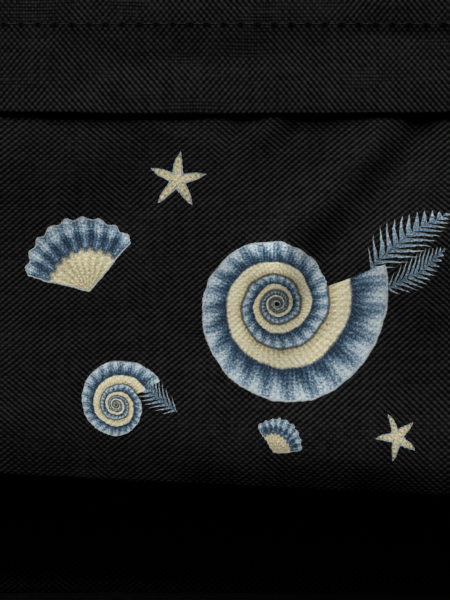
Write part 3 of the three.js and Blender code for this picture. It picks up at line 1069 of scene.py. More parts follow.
def weave_group() -> NodeTree:
    """The plain weave of coarse filament threads, with a painted highlight on the thread crests and
    painted shade in the gaps.

    Returns:
        A group that reads cloth distances and gives each point's tone, height and a slow drift.
    """
    known = bpy.data.node_groups.get("Plain weave")
    if known:
        return known
    nodes, given, out = new_group(
        "Plain weave",
        {"Cloth": (VECTOR, None), "Across pitch": (FLOAT, 0.9 * MM),
         "Along pitch": (FLOAT, 0.75 * MM), "Lean": (FLOAT, 0.5), "Wear": (FLOAT, 0.4)},
        {"Tone": FLOAT, "Height": FLOAT, "Drift": FLOAT},
    )
    cloth = given["Cloth"]
    u, v, _ = nodes.parts(cloth)
    sway = nodes.noise(cloth, 45.0, 1.0)
    sway_other = nodes.noise(nodes.point(v + 3.0, u), 45.0, 1.0)
    across = u / given["Across pitch"] + (sway - 0.5) * 1.4
    along = v / given["Along pitch"] + (sway_other - 0.5) * 1.4
    lean = given["Lean"]
    falling = ((across + along) * math.pi).cos()
    rising = ((across - along) * math.pi).cos()
    ripple = across.wave() * 0.3 + along.wave() * 0.7
    rubs = nodes.noise(nodes.point(u * 0.6 + 4.0, v * 1.5), 60.0, 2.0)
    worn = rubs.step(0.48, 0.64) * given["Wear"]
    column, row = (across + 0.5).floor(), (along + 0.5).floor()
    warp = nodes.speckle(nodes.point(column, (along * 0.12).floor(), 1.0))
    weft = nodes.speckle(nodes.point(row, (across * 0.12).floor(), 2.0))
    dot = nodes.speckle(nodes.point(column, row, 3.0))
    # Painted highlight: the checks light the floats and shade the gaps as a top light would; the
    # lean picks which diagonal rows look lit
    checks = rising * lean + falling * (1.0 - lean)
    uneven = (warp + weft - 1.0) * 0.22 + (dot - 0.5) * 0.28
    nodes.fed(out, {
        "Tone": checks * (1.06 - worn * 0.7) + ripple * (0.1 + worn * 0.55) + uneven,
        "Height": checks * 0.5 + ripple * 0.2 + 0.5,
        "Drift": nodes.noise(nodes.point(u, v + 11.0), 16.0, 3.0),
    })
    return nodes.tree


def begin_material(name: str, roughness: float, specular: float) -> tuple[Material, Nodes, Node]:
    """Starts a finish.

    Args:
        name: Name of the finish.
        roughness: Its roughness where nothing else feeds it.
        specular: Its specular level.

    Returns:
        The material, its node helper, and its shader.
    """
    material = bpy.data.materials.new(name)
    material.use_nodes = True
    nodes = Nodes(material.node_tree)
    shader = material.node_tree.nodes["Principled BSDF"]
    nodes.fed(shader, {"Roughness": roughness, "Specular IOR Level": specular})
    return material, nodes, shader


def relief(
    nodes: Nodes, shader: Node, height: Scalar, distance: float, strength: float
) -> None:
    """Gives a finish its fine relief.

    Args:
        nodes: The finish's node helper.
        shader: Its shader.
        height: The relief's height, around 0 to 1.
        distance: The height in metres that 1 stands for.
        strength: How strongly it shows.
    """
    raised = nodes.fed(
        nodes.add("ShaderNodeBump"), {"Strength": strength, "Distance": distance, "Height": height}
    )
    nodes.feed(shader.inputs["Normal"], raised.outputs[0])


def edge_wear(nodes: Nodes, place: Socket, most: float) -> Scalar:
    """Where handling has rubbed an edge, from the piece's own edge marks.

    Args:
        nodes: The finish's node helper.
        place: Object coordinates.
        most: The share of bare metal on the most worn edge.

    Returns:
        A mask from 0 to that share.
    """
    known = bpy.data.node_groups.get("Edge wear")
    if not known:
        inputs = {"Place": (VECTOR, None), "Edge": (FLOAT, 0.0), "Most": (FLOAT, 0.6)}
        inner, given, out = new_group("Edge wear", inputs, {"Mask": FLOAT})
        rubs = inner.noise(given["Place"], 420.0, 4.0, 0.65)
        nearness = given["Edge"] * 0.55 + rubs
        inner.feed(out.inputs["Mask"], nearness.step(0.86, 1.05) * given["Most"])
        known = inner.tree
    mark = nodes.add("ShaderNodeAttribute", attribute_name="Edge").outputs["Fac"]
    worn = use_group(nodes, known, Place=place, Edge=mark, Most=most)
    return Scalar(nodes, worn.outputs["Mask"])


# Linear brightness of the cloth, from the gaps between threads to their crests: the threads' black
# with painted shade in the gaps and a painted sheen on the crests
THREAD_LEVELS = (0.0018, 0.0030, 0.0094, 0.0170, 0.0265)


@dataclass(frozen=True)
class WovenCloth:
    """Black woven polyester cloth."""

    name: str
    across_pitch: float = 0.888 * MM
    along_pitch: float = 0.731 * MM
    brightness: float = 1.0
    roughness: float = 0.62
    specular: float = 0.0
    relief: float = 0.12 * MM
    strength: float = 0.55
    wear: float = 0.4

    def begin(self) -> tuple[Material, Nodes, Node, Node, Socket]:
        """Starts the material.

        Returns:
            The material, its node helper, its shader, the weave's node, and the cloth's colour.
        """
        material, nodes, shader = begin_material(self.name, self.roughness, self.specular)
        lean = nodes.add("ShaderNodeAttribute", attribute_name="Lean").outputs["Fac"]
        weave = use_group(
            nodes, weave_group(), Cloth=nodes.cloth(), Across_pitch=self.across_pitch,
            Along_pitch=self.along_pitch, Lean=lean, Wear=self.wear,
        )
        tone = Scalar(nodes, weave.outputs["Tone"])
        drift = Scalar(nodes, weave.outputs["Drift"])
        stops = [
            (index / (len(THREAD_LEVELS) - 1), grey(level * self.brightness))
            for index, level in enumerate(THREAD_LEVELS)
        ]
        toned = nodes.scaled(nodes.ramped(tone * 0.5 + 0.5, stops), drift * 0.6 + 0.7)
        return material, nodes, shader, weave, toned

    def make(self) -> Material:
        """The plain cloth's material."""
        material, nodes, shader, weave, toned = self.begin()
        nodes.feed(shader.inputs["Base Color"], toned)
        relief(nodes, shader, Scalar(nodes, weave.outputs["Height"]), self.relief, self.strength)
        return material


class Motif(Enum):
    """The shapes of the seaside print."""

    SPIRAL = "Spiral shell"
    FAN = "Fan shell"
    STAR = "Sea star"
    FROND = "Frond"


@dataclass(frozen=True)
class PlacedMotif:
    """One motif of the print, in millimetres on the panel."""

    motif: Motif
    x: float
    z: float
    size: float
    turn: float = 0.0
    mirrored: bool = False


MOTIF_OUTPUTS = {"Mask": FLOAT, "Cream": FLOAT, "Tone": FLOAT, "Line": FLOAT}
SEASIDE_PRINT = (
    PlacedMotif(Motif.FROND, 36.0, 88.0, 24.0, -38.0),
    PlacedMotif(Motif.FROND, 40.0, 84.0, 17.0, -72.0, True),
    PlacedMotif(Motif.FROND, -12.0, 54.0, 15.0, 62.0),
    PlacedMotif(Motif.SPIRAL, 13.0, 80.0, 29.0, 200.0),
    PlacedMotif(Motif.FAN, -34.0, 83.0, 19.0, 18.0),
    PlacedMotif(Motif.SPIRAL, -27.0, 55.0, 12.5, 30.0, True),
    PlacedMotif(Motif.STAR, -12.0, 111.0, 7.5, 12.0),
    PlacedMotif(Motif.STAR, 43.0, 50.0, 5.5, 40.0),
    PlacedMotif(Motif.FAN, 12.0, 45.0, 8.5, -24.0),
)


def spiral_group() -> NodeTree:
    """A ribbed spiral shell of radius 1 round the origin."""
    nodes, given, out = new_group(Motif.SPIRAL.value, {"Place": (VECTOR, None)}, MOTIF_OUTPUTS)
    x, y, _ = nodes.parts(given["Place"])
    growth, ribs = 2.15, 23.0
    radius = (x * x + y * y).power(0.5).most(0.001)
    angle = nodes.math("ARCTAN2", y, x) / TURN + 0.5
    inwards = angle - nodes.math("LOGARITHM", radius, growth) - 1.0
    whorl = inwards.floor()
    share = inwards - whorl
    travel = angle - whorl
    width = radius * math.log(growth)
    seam = share.least(1.0 - share) * width
    rib = (travel * ribs + share * share * 1.3).wave()
    fine = (travel * (ribs * 2.6) + share * 0.8).wave()
    cream = share.step(0.5, 0.58)
    hatch = (travel * (ribs * 4.0) - share * 1.5).wave()
    blue = share.step(0.62, 0.02) * 0.85 + rib * 0.2 * share.step(0.75, 0.1) + hatch * 0.1
    pale = share.step(1.0, 0.72) * 0.5 + fine * 0.14 + 0.42
    nodes.fed(out, {
        "Mask": inwards.step(0.0, 0.05) * radius.step(0.02, 0.035),
        "Cream": cream,
        "Tone": blue * (1.0 - cream) + pale * cream,
        "Line": seam.step(0.018, 0.006) * 0.9,
    })
    return nodes.tree


def fan_group() -> NodeTree:
    """A ribbed fan shell with its hinge at the origin, opening upwards to radius 1."""
    nodes, given, out = new_group(Motif.FAN.value, {"Place": (VECTOR, None)}, MOTIF_OUTPUTS)
    x, y, _ = nodes.parts(given["Place"])
    spread, ribs = 1.02, 9.0
    radius = (x * x + y * y).power(0.5)
    angle = nodes.math("ARCTAN2", x, y)
    rib = (angle * (math.pi * ribs / spread)).cos()
    reach = 1.0 - angle * angle * 0.13 + rib * 0.02
    rim = reach - radius
    side = (spread - angle.size()) * radius
    edge = rim.least(side)
    growth = ((radius * 7.0 + rib * 0.08).power(1.4) * 1.6).cos()
    cream = (radius + rib * 0.03).step(0.6, 0.5)
    hatch = (angle * (math.pi * ribs * 4.0 / spread)).cos()
    outer = (radius + rib * 0.05).step(0.45, 1.0)
    blue = outer * 0.75 + growth * 0.12 + rib * 0.14 + hatch * 0.1
    pale = rib * 0.16 + radius * 0.5 + 0.5
    nodes.fed(out, {
        "Mask": edge.step(0.0, 0.035),
        "Cream": cream,
        "Tone": blue * (1.0 - cream) + pale * cream,
        "Line": edge.step(0.035, 0.01),
    })
    return nodes.tree


def star_group() -> NodeTree:
    """A five-armed sea star of radius 1 round the origin."""
    nodes, given, out = new_group(Motif.STAR.value, {"Place": (VECTOR, None)}, MOTIF_OUTPUTS)
    x, y, _ = nodes.parts(given["Place"])
    radius = (x * x + y * y).power(0.5)
    turn = nodes.math("ARCTAN2", y, x) * (5.0 / TURN) + 2.5
    off_arm = (turn.fraction() - 0.5).size() * 2.0
    reach = (1.0 - off_arm).power(2.0) * 0.66 + 0.34
    edge = (reach - radius) * (1.0 - off_arm * 0.6)
    beads = (radius * 34.0).cos() * off_arm.step(0.2, 0.04)
    nodes.fed(out, {
        "Mask": edge.step(0.0, 0.06),
        "Cream": edge.step(0.06, 0.1),
        "Tone": 0.72 + beads * 0.3 - radius * 0.3,
        "Line": edge.step(0.05, 0.015) * 0.8,
    })
    return nodes.tree


def frond_group() -> NodeTree:
    """A frond with paired leaflets, from the origin up to height 1."""
    nodes, given, out = new_group(Motif.FROND.value, {"Place": (VECTOR, None)}, MOTIF_OUTPUTS)
    bent_x, y, _ = nodes.parts(given["Place"])
    x = bent_x - y * y * 0.28
    leaflet = 0.085
    off = x.size()
    half = (y * math.pi).sin().most(0.0).power(0.7) * 0.2
    cell = ((y - off * 0.9) / leaflet).fraction()
    reach = off / half.most(0.001)
    blade = 0.4 - (cell - 0.5).size() - reach * 0.3
    stem = 0.011 * (1.2 - y) - off
    inside = y.step(0.0, 0.01) * y.step(1.0, 0.99)
    drawn = blade.step(0.0, 0.08).most(stem.step(0.0, 0.004))
    nodes.fed(out, {
        "Mask": drawn * inside * half.step(0.0, 0.01),
        "Cream": blade.step(0.36, 0.4) * off.step(0.0, 0.02),
        "Tone": reach * 0.45 + 0.32 + blade * 0.3,
        "Line": blade.step(0.1, 0.02) * 0.5,
    })
    return nodes.tree


MOTIF_GROUPS: dict[Motif, Callable[[], NodeTree]] = {
    Motif.SPIRAL: spiral_group,
    Motif.FAN: fan_group,
    Motif.STAR: star_group,
    Motif.FROND: frond_group,
}


@dataclass(frozen=True)
class PrintedCloth(WovenCloth):
    """The pocket panel's cloth with a seaside print in watercolour inks."""

    blues: tuple = (
        (0.0, (22, 40, 58)), (0.25, (48, 73, 97)), (0.5, (90, 119, 141)),
        (0.75, (146, 170, 184)), (1.0, (202, 213, 217)),
    )
    creams: tuple = (
        (0.0, (112, 103, 75)), (0.4, (180, 169, 131)), (0.75, (216, 205, 165)),
        (1.0, (236, 229, 198)),
    )
    ink_line: tuple = (20, 28, 38)
    underbase: tuple = (176, 184, 186)
    level: float = 0.97
    # Painted shade: the left of the panel is darkened by this share, easing in between these two
    # places along the cloth
    painted_shade_depth: float = 0.16
    painted_shade_span: tuple = (-36 * MM, 4 * MM)
    bleeding: float = 1.6
    raggedness: float = 0.35

    def draw(
        self, nodes: Nodes, item: PlacedMotif, group: NodeTree,
        painted: Socket,
    ) -> Iterator[Scalar]:
        """Draws one motif.

        Args:
            nodes: The material's node helper.
            item: The motif and its place.
            group: The motif's node group.
            painted: Where the brush is, along the cloth both ways.

        Returns:
            Its mask, cream share, tone and outline.
        """
        size = item.size * MM
        local = nodes.fed(nodes.add("ShaderNodeMapping", vector_type="TEXTURE"), {
            "Vector": painted,
            "Location": (item.x * MM, item.z * MM, 0.0),
            "Rotation": (0.0, 0.0, math.radians(item.turn)),
            "Scale": (-size if item.mirrored else size, size, 1.0),
        })
        drawn = use_group(nodes, group, Place=local.outputs[0])
        return (Scalar(nodes, drawn.outputs[label]) for label in MOTIF_OUTPUTS)

    def make(self) -> Material:
        """The printed cloth's material."""
        material, nodes, shader, weave, toned = self.begin()
        cloth = nodes.cloth()
        u, v, _ = nodes.parts(cloth)
        bleed = nodes.noise(cloth, 150.0, 2.0) - 0.5
        bleed_other = nodes.noise(nodes.point(v + 5.0, u), 150.0, 2.0) - 0.5
        ragged = nodes.noise(cloth, 1500.0, 1.0) - 0.5
        painted = nodes.point(
            u + (bleed * self.bleeding + ragged * self.raggedness) * MM,
            v + (bleed_other * self.bleeding + ragged * self.raggedness) * MM,
        )
        stipple = nodes.noise(cloth, 2100.0, 2.0, 0.6) - 0.5
        wash = nodes.noise(cloth, 190.0, 3.0) - 0.5
        thread = Scalar(nodes, weave.outputs["Tone"])
        groups = {motif: build() for motif, build in MOTIF_GROUPS.items()}
        blues, creams = (
            [(place, colour(*shade)) for place, shade in stops]
            for stops in (self.blues, self.creams)
        )
        # Painted shade: the panel's left side is made darker, as if less lit there
        painted_side_shade = u.step(*self.painted_shade_span) * self.painted_shade_depth + (self.level - self.painted_shade_depth / 2.0)
        shown = nodes.scaled(toned, painted_side_shade)
        masks = []
        for item in SEASIDE_PRINT:
            mask, cream, tone, line = self.draw(nodes, item, groups[item.motif], painted)
            shade = tone + stipple * 1.7 + wash * 0.5
            ink = nodes.blend(cream, nodes.ramped(shade, blues), nodes.ramped(shade, creams))
            ink = nodes.blend(line * 0.85, ink, colour(*self.ink_line))
            ink = nodes.scaled(ink, thread * 0.1 + 0.92)
            shown = nodes.blend(mask.step(0.0, 0.25) * 0.92, shown, colour(*self.underbase))
            shown = nodes.blend(mask.step(0.55, 0.95) * 0.97, shown, ink)
            masks.append(mask)
        covered = masks[0]
        for mask in masks[1:]:
            covered = covered.most(mask)
        nodes.feed(shader.inputs["Base Color"], shown)
        height = Scalar(nodes, weave.outputs["Height"]) * (1.0 - covered * 0.6)
        relief(nodes, shader, height, self.relief, self.strength)
        return material


@dataclass(frozen=True)
class ZipTape:
    """Woven zip tape with a herringbone weave."""

    name: str = "Zip tape"
    rib: float = 1.5 * MM
    pick: float = 0.42 * MM
    shade: tuple = (0.0125, 0.0125, 0.0135)

    def make(self) -> Material:
        """The tape's material."""
        material, nodes, shader = begin_material(self.name, roughness=0.7, specular=0.05)
        cloth = nodes.cloth()
        along, across, _ = nodes.parts(cloth)
        zigzag = ((across / self.rib).fraction() - 0.5).size() * (2.0 * self.rib)
        twill = ((along + zigzag) / self.pick).wave()
        cord = (across / (self.rib * 0.5)).wave()
        uneven = nodes.noise(cloth, 500.0, 2.0)
        level = (twill * 0.3 + cord * 0.16 + 0.55 + (uneven - 0.5) * 0.5).most(0.0)
        nodes.feed(shader.inputs["Base Color"], nodes.scaled(self.shade, level))
        relief(nodes, shader, twill * 0.3 + cord * 0.4, 0.1 * MM, 0.6)
        return material


@dataclass(frozen=True)
class Thread:
    """Twisted polyester sewing thread."""

    name: str = "Sewing thread"
    twist: float = 0.75 * MM
    lay: float = 0.9 * MM
    level: float = 0.018

    def make(self) -> Material:
        """The thread's material."""
        material, nodes, shader = begin_material(self.name, roughness=0.7, specular=0.04)
        along, around, _ = nodes.parts(nodes.cloth())
        ply = (along / self.twist + around / self.lay).wave()
        nodes.feed(shader.inputs["Base Color"], nodes.scaled(grey(self.level), ply * 0.45 + 0.75))
        relief(nodes, shader, ply, 0.06 * MM, 0.7)
        return material


@dataclass(frozen=True)
class NeedleHoleShade:
    """The shadowed cloth inside a needle hole."""

    name: str = "Needle hole"
    level: float = 0.0075

    def make(self) -> Material:
        """The hole's material."""
        material, nodes, shader = begin_material(self.name, roughness=0.95, specular=0.0)
        x, y, _ = nodes.parts(nodes.cloth())
        # Painted shade: the dish is darkest at its middle, as the shadow inside a hole
        edge = (x * x + y * y * 2.0).power(0.5).step(0.2 * MM, 0.9 * MM)
        nodes.feed(shader.inputs["Base Color"], nodes.scaled(grey(self.level), edge * 0.85 + 0.15))
        return material


@dataclass(frozen=True)
class CoilNylon:
    """Satin nylon of the zip's coil."""

    name: str = "Coil nylon"
    shade: tuple = (0.011, 0.011, 0.012)

    def make(self) -> Material:
        """The nylon's material."""
        material, nodes, shader = begin_material(self.name, roughness=0.34, specular=0.25)
        handled = nodes.noise(nodes.place(), 240.0, 3.0)
        nodes.fed(shader, {
            "Base Color": nodes.scaled(self.shade, handled * 0.7 + 0.65),
            "Roughness": handled * 0.22 + 0.24,
        })
        return material


@dataclass(frozen=True)
class BlackEnamel:
    """Black enamelled zinc, rubbed thin along its edges."""

    name: str = "Black enamel"
    enamel: tuple = grey(0.009)
    metal: tuple = (0.2, 0.195, 0.19, 1.0)
    most_rubbed: float = 0.6

    def make(self) -> Material:
        """The enamel's material."""
        material, nodes, shader = begin_material(self.name, roughness=0.48, specular=0.12)
        place = nodes.place()
        rubbed = edge_wear(nodes, place, self.most_rubbed)
        nodes.fed(shader, {
            "Base Color": nodes.blend(rubbed, self.enamel, self.metal),
            "Metallic": rubbed,
            "Roughness": nodes.noise(place, 300.0, 3.0) * 0.25 + 0.36,
        })
        orange_peel = nodes.noise(place, 1500.0, 2.0)
        relief(nodes, shader, orange_peel, 0.03 * MM, 0.4)
        return material


@dataclass(frozen=True)
class Finishes:
    """Every finish of the bag, made once."""

    body: Material
    strip: Material
    flap: Material
    printed: Material
    piping: Material
    tape: Material
    thread: Material
    hole: Material
    coil: Material
    enamel: Material

    @staticmethod
    def make() -> "Finishes":
        """Makes all finishes."""
        return Finishes(
            body=WovenCloth("Body cloth").make(),
            strip=WovenCloth(
                "Strip cloth", across_pitch=0.731 * MM, along_pitch=0.888 * MM, wear=0.8
            ).make(),
            flap=WovenCloth(
                "Flap cloth", across_pitch=0.763 * MM, along_pitch=0.88 * MM,
                brightness=0.95, wear=1.0,
            ).make(),
            printed=PrintedCloth("Printed pocket cloth").make(),
            # Piping darker than the body cloth: partly a darker binding, partly painted shade along
            # the bottom edge below the pocket
            piping=WovenCloth(
                "Piping cloth", across_pitch=0.5 * MM, along_pitch=0.5 * MM, brightness=0.62,
                relief=0.07 * MM,
            ).make(),
            tape=ZipTape().make(),
            thread=Thread().make(),
            hole=NeedleHoleShade().make(),
            coil=CoilNylon().make(),
            enamel=BlackEnamel().make(),
        )


@dataclass(frozen=True)
class StudioPaper:
    """The pale floor, and the paper sweep that rises round it."""

    floor_radius: float = 12.0
    level: float = 0.15
    glow: float = 0.5
    near: float = 0.5
    start: float = 2.2
    bend: float = 0.9
    height: float = 2.0

    def make(self) -> Material:
        """The paper's material, which looks evenly lit far away too."""
        material, nodes, shader = begin_material("Studio paper", 0.85, 0.5)
        place = nodes.place()
        x, y, _ = nodes.parts(place)
        far = nodes.math("SQRT", x * x + y * y).step(self.near, self.start)
        nodes.fed(shader, {
            "Base Color": nodes.scaled(grey(self.level), nodes.noise(place, 3.0) * 0.04 + 0.98),
            "Emission Color": nodes.scaled(grey(1.0), far),
            "Emission Strength": self.glow,
        })
        return material

    def build(self) -> None:
        """Builds the floor and the sweep, neither of which lights the bag."""
        bpy.ops.mesh.primitive_circle_add(
            vertices=96, radius=self.floor_radius, fill_type="NGON"
        )
        floor = bpy.context.object
        floor.name = "studio_floor"
        turn = np.linspace(0.0, math.pi / 2.0, 13)
        out = np.append(self.start + self.bend * np.sin(turn), self.start + self.bend)
        rise = np.append(self.bend * (1.0 - np.cos(turn)), self.height)
        angle, radius = np.meshgrid(np.linspace(TURN, 0.0, 97), out)
        height = np.meshgrid(angle[0], rise)[1]
        places = stacked(radius * np.cos(angle), radius * np.sin(angle), height)
        sweep = sheet_mesh("studio_sweep", places, stacked(angle, height), merge=True)
        sweep.visible_glossy = False
        sweep.visible_shadow = False
        finish = self.make()
        for paper in (floor, sweep):
            paper.data.materials.append(finish)
            paper.visible_diffuse = False


# Sub-assemblies

@dataclass
class FrontPocket:
    """The pocket on the front: printed panel, storm flap, gusset and flap allowance."""

    finishes: Finishes
    roll_radius: float = 5.0 * MM
    cloth: float = 0.9 * MM
    step: float = 0.9 * MM
    rim_sag: float = 1.9 * MM
    rim_lean: float = 0.05
    stitch_height: float = 149.95 * MM
    stitching: Stitching = Stitching(pitch=4.14 * MM, thread=0.16 * MM, hole=1.25 * MM)
    outline: RoundedOutline = field(init=False)
    seam_y: float = field(init=False)
    panel_top: float = field(init=False)
    flap_edge: float = field(init=False)
    flap_seam: SewingPath = field(init=False)
    folds: tuple[Crease, ...] = (
        Crease(((40.5, 125.5), (36.3, 119.5), (30.5, 111), (22.8, 104), (16.5, 97), (13.5, 90),
                (13, 80), (15, 70)), 4.9, 1.35),
        Crease(((51.5, 127), (48.3, 122), (42.6, 112), (36, 103), (28.7, 96), (23.2, 89),
                (21, 79), (22, 69)), 5.3, -1.45),
        Crease(((15, 134), (13.2, 128), (10, 123.5), (7, 119.5)), 3.6, 0.6),
        Crease(((18, 125), (16.4, 122.5), (12.5, 118)), 3.2, -0.65),
        Crease(((52, 128), (46, 118.5), (39, 108)), 4.5, -0.5),
        Crease(((16, 130.5), (25, 130), (35, 130.5)), 4.5, 0.7),
        Crease(((50, 131.5), (62, 131)), 4.5, 0.7),
        Crease(((-74, 130), (-48, 129.5), (-24, 129.5)), 5.5, 0.5),
        Crease(((-70, 117), (-46, 116), (-26, 118)), 15.0, 0.75),
        Crease(((-74, 78), (-50, 77), (-24, 80)), 20.0, -1.9),
        Crease(((-42, 100), (-30, 99), (-18, 101)), 12.0, -1.3),
        Crease(((-26, 124), (0, 124), (32, 122)), 10.0, 0.55),
        Crease(((-17, 124), (-21, 114), (-25, 104)), 8.0, -1.0),
        Crease(((4, 126), (0.5, 119), (-3, 108)), 2.6, -0.35),
        Crease(((51, 100), (49.5, 92), (49.5, 70)), 4.0, 0.55),
        Crease(((36, 106), (20, 94), (6, 84)), 12.0, 1.3),
        Crease(((72, 100), (54, 92), (38, 84)), 14.0, 2.2),
        Crease(((66, 42), (34, 44), (0, 47)), 13.0, 1.7),
    )
    flap_folds: tuple[Crease, ...] = (
        Crease(((-34, 139), (-20, 140), (-6, 140.5), (8, 142), (22, 144)), 4.0, -0.6),
        Crease(((34, 149), (44, 150.5), (58, 154)), 4.0, -0.4),
        Crease(((0, 133), (30, 134), (64, 136)), 7.0, 0.2),
        Crease(((-68, 126), (-53, 128)), 6.0, -0.25),
        Crease(((-47, 126), (-37, 127), (-28, 126)), 6.0, 0.6),
        Crease(((-66, 144), (-38, 141)), 7.0, 0.45),
        Crease(((36, 157), (62, 155)), 4.5, 0.5),
    )
    # Height and depth of the flap's outer face, in millimetres
    flap_course: tuple[tuple[float, float], ...] = (
        (120, 10.6), (128.6, 10.4), (130, 10.38), (131.5, 10.36), (133, 10.32), (135, 10.27),
        (138, 10.18), (141, 10.08), (144, 10.05), (147, 10.15), (148.2, 10.25), (149.2, 10.4),
        (150.2, 10.52), (151.5, 10.58), (153, 10.56), (158, 10.4), (172, 9.8),
    )
    # Place along the flap's free edge and its lift there, in millimetres
    droop: tuple[tuple[float, float], ...] = (
        (-110, 0.0), (-56, 0.1), (-38, -0.1), (-17, -0.35), (0, -0.5), (20, -0.4), (40, -0.15),
        (56, 0.0), (110, 0.0),
    )
    # Depth and height of the flap's allowance, from the zip's tape to the stitch line
    facing_course: tuple[tuple[float, float], ...] = (
        (-38.95, 146.4), (-39.6, 146.0), (-40.8, 146.1), (-42.4, 147.0), (-43.8, 148.4),
        (-44.6, 150.2), (-44.8, 152.4),
    )

    def __post_init__(self) -> None:
        """Reads the pocket's place from the frame."""
        ring_low, ring_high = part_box("pocket_gusset")
        self.outline = RoundedOutline(ring_high.x, ring_low.z, ring_high.z, 20 * MM)
        _, panel_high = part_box("pocket_panel")
        self.seam_y = panel_high.y
        self.panel_top = panel_high.z
        flap_low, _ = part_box("storm_flap")
        self.flap_edge = flap_low.z

    def rim_slope(self, x: Grid, z: Grid) -> Grid:
        """How much the lower seam is lifted at a place: it sags, and more so to the right."""
        middle = 1.0 - ease(np.abs(x), 55 * MM, 100 * MM)
        slope = -self.rim_sag - self.rim_lean * x * middle
        return slope * (1.0 - ease(z, self.outline.low + 5 * MM, self.outline.low + 45 * MM))

    def columns(self, step: float) -> tuple[Grid, Grid]:
        """Places from side to side, and their distance along the cloth from the middle."""
        half = self.outline.half_width
        xs, u = rolled_steps(-half, half, self.roll_radius, self.roll_radius, step)
        return xs, u - u[-1] / 2.0

    def panel_depth(self, x: Grid, z: Grid) -> Grid:
        """How far the printed panel stands out from its seam.

        Args:
            x: Places along the width.
            z: Heights.

        Returns:
            Depths in metres, towards the front.
        """
        tall = replace(self.outline, high=self.outline.high + 60 * MM)
        lip, wall, shoulder, belly = 2.4, 4.1, 2.0, 1.7 * MM
        inside = tall.distance(x, z)
        rim = roll(inside, 1.8 * MM)
        bend = 1.0 - (1.0 - np.clip(inside / (14 * MM), 0.0, 1.0)) ** 2
        turn_in = roll(self.panel_top + 1 * MM - z, 9 * MM)
        across = 1.0 - (x / self.outline.half_width) ** 2
        middle = (self.outline.low + self.panel_top) / 2.0
        up = 1.0 - ((z - middle) / (self.panel_top - middle + 2 * MM)) ** 4
        depth = (lip * rim + (wall * rim + shoulder * bend) * turn_in) * MM
        depth = depth + belly * across * up * turn_in
        folds = sum(fold.at(x, z) for fold in self.folds)
        slow = 0.45 * MM * Unevenness(3, 46 * MM).at(x, z)
        quick = 0.10 * MM * Unevenness(4, 13 * MM).at(x, z)
        near_seam = np.exp(-inside / (9 * MM))
        pucker = 0.35 * MM * near_seam * Unevenness(5, 12 * MM, 9).at(x * 1.0, z * 0.35)
        return depth + (folds + slow + quick) * bend + pucker * rim

    def build_panel(self) -> None:
        """Builds the printed panel."""
        xs, u = self.columns(self.step)
        low = self.outline.low
        zs, v = rolled_steps(low, self.panel_top, self.roll_radius, 0.0, self.step)
        x, z = np.meshgrid(xs, zs)
        x, z = self.outline.round_off(x, z, top=False)
        y = self.seam_y - self.panel_depth(x, z)
        places = stacked(x, y, z + self.rim_slope(x, z))
        cloth = stacked(*np.meshgrid(u, v + low - (math.pi / 2.0 - 1.0) * self.roll_radius))
        made = sheet_mesh("printed_pocket_panel", places, cloth)
        thicken(made, self.cloth)
        dress(made, self.finishes.printed, Slot.POCKET_CLOTH, ["pocket_panel"])

    def flap_profile(self, z: Grid) -> Grid:
        """Depth of the flap's outer face at a height, away from its side rims."""
        return smooth_through([(place * MM, depth * MM) for place, depth in self.flap_course], z)

    def flap_depth(self, x: Grid, z: Grid) -> Grid:
        """How far the storm flap's outer face stands out from the seam.

        Args:
            x: Places along the width.
            z: Heights.

        Returns:
            Depths in metres, towards the front.
        """
        deep = replace(self.outline, low=self.outline.low - 200 * MM)
        rim = roll(deep.distance(x, z), self.roll_radius)
        above_panel = ease(z, self.panel_top + 1 * MM, self.panel_top + 4 * MM)
        over_panel = 2.6 * MM * (1.0 - rim) * (1.0 - above_panel)
        swell = 1.2 * MM * (1.0 - (x / self.outline.half_width) ** 2)
        slow = 0.2 * MM * Unevenness(11, 50 * MM).at(x, z * 0.8)
        quick = 0.06 * MM * Unevenness(12, 12 * MM).at(x, z)
        groove = 0.05 * MM * bump(z, self.stitch_height, 0.7 * MM)
        folds = sum(fold.at(x, z) for fold in self.flap_folds)
        at_stitches = ease(z, 146.9 * MM, 149.9 * MM)
        pulled = ease(x, 20 * MM, 44 * MM) * at_stitches * (1.0 - ease(z, 152 * MM, 170 * MM))
        folds += 0.4 * MM * pulled
        face = self.flap_profile(z) + swell - 0.6 * MM + slow + quick + folds - groove
        return over_panel + rim * face

    def build_flap(self) -> None:
        """Builds the storm flap: outer face, fold along its free edge, and inner face."""
        fold, inner_rows = 0.75 * MM, 24
        xs, u = self.columns(0.75 * MM)
        edge = self.flap_edge + fold
        zs, v = rolled_steps(edge, self.outline.high, 0.0, self.roll_radius, 0.4 * MM)
        fine = np.abs(zs - self.stitch_height) < 3 * MM
        kept = fine | (np.arange(len(zs)) % 3 == 0)
        kept[-1] = True
        zs, v = zs[kept], v[kept]
        turn = np.linspace(-math.pi / 2.0, math.pi / 2.0, 9)[1:-1]
        inner = np.linspace(edge + 19 * MM, edge, inner_rows)
        heights = np.concatenate([inner, edge - fold * np.cos(turn), zs])
        behind = np.concatenate(
            [np.full(inner_rows, 2.0 * fold), fold * (1.0 - np.sin(turn)), np.zeros(len(zs))]
        )
        lengths = np.concatenate(
            [-math.pi * fold - (inner - inner[-1]), fold * (turn - math.pi / 2.0), v]
        )
        x, z = np.meshgrid(xs, heights)
        back = np.meshgrid(xs, behind)[1]
        clipped = np.maximum(z, edge)
        rounded_x, rounded_z = self.outline.round_off(x, clipped, bottom=False)
        ripple = 0.1 * MM * Unevenness(13, 60 * MM).at(x, 0.0 * z)
        wave = ripple + smooth_through(self.droop, x / MM) * MM
        sag = wave * (1.0 - ease(z, self.flap_edge, self.flap_edge + 12 * MM))
        y = self.seam_y - self.flap_depth(rounded_x, rounded_z) + back
        places = stacked(rounded_x, y, rounded_z + (z - clipped) + sag)
        cloth = stacked(*np.meshgrid(u, lengths))
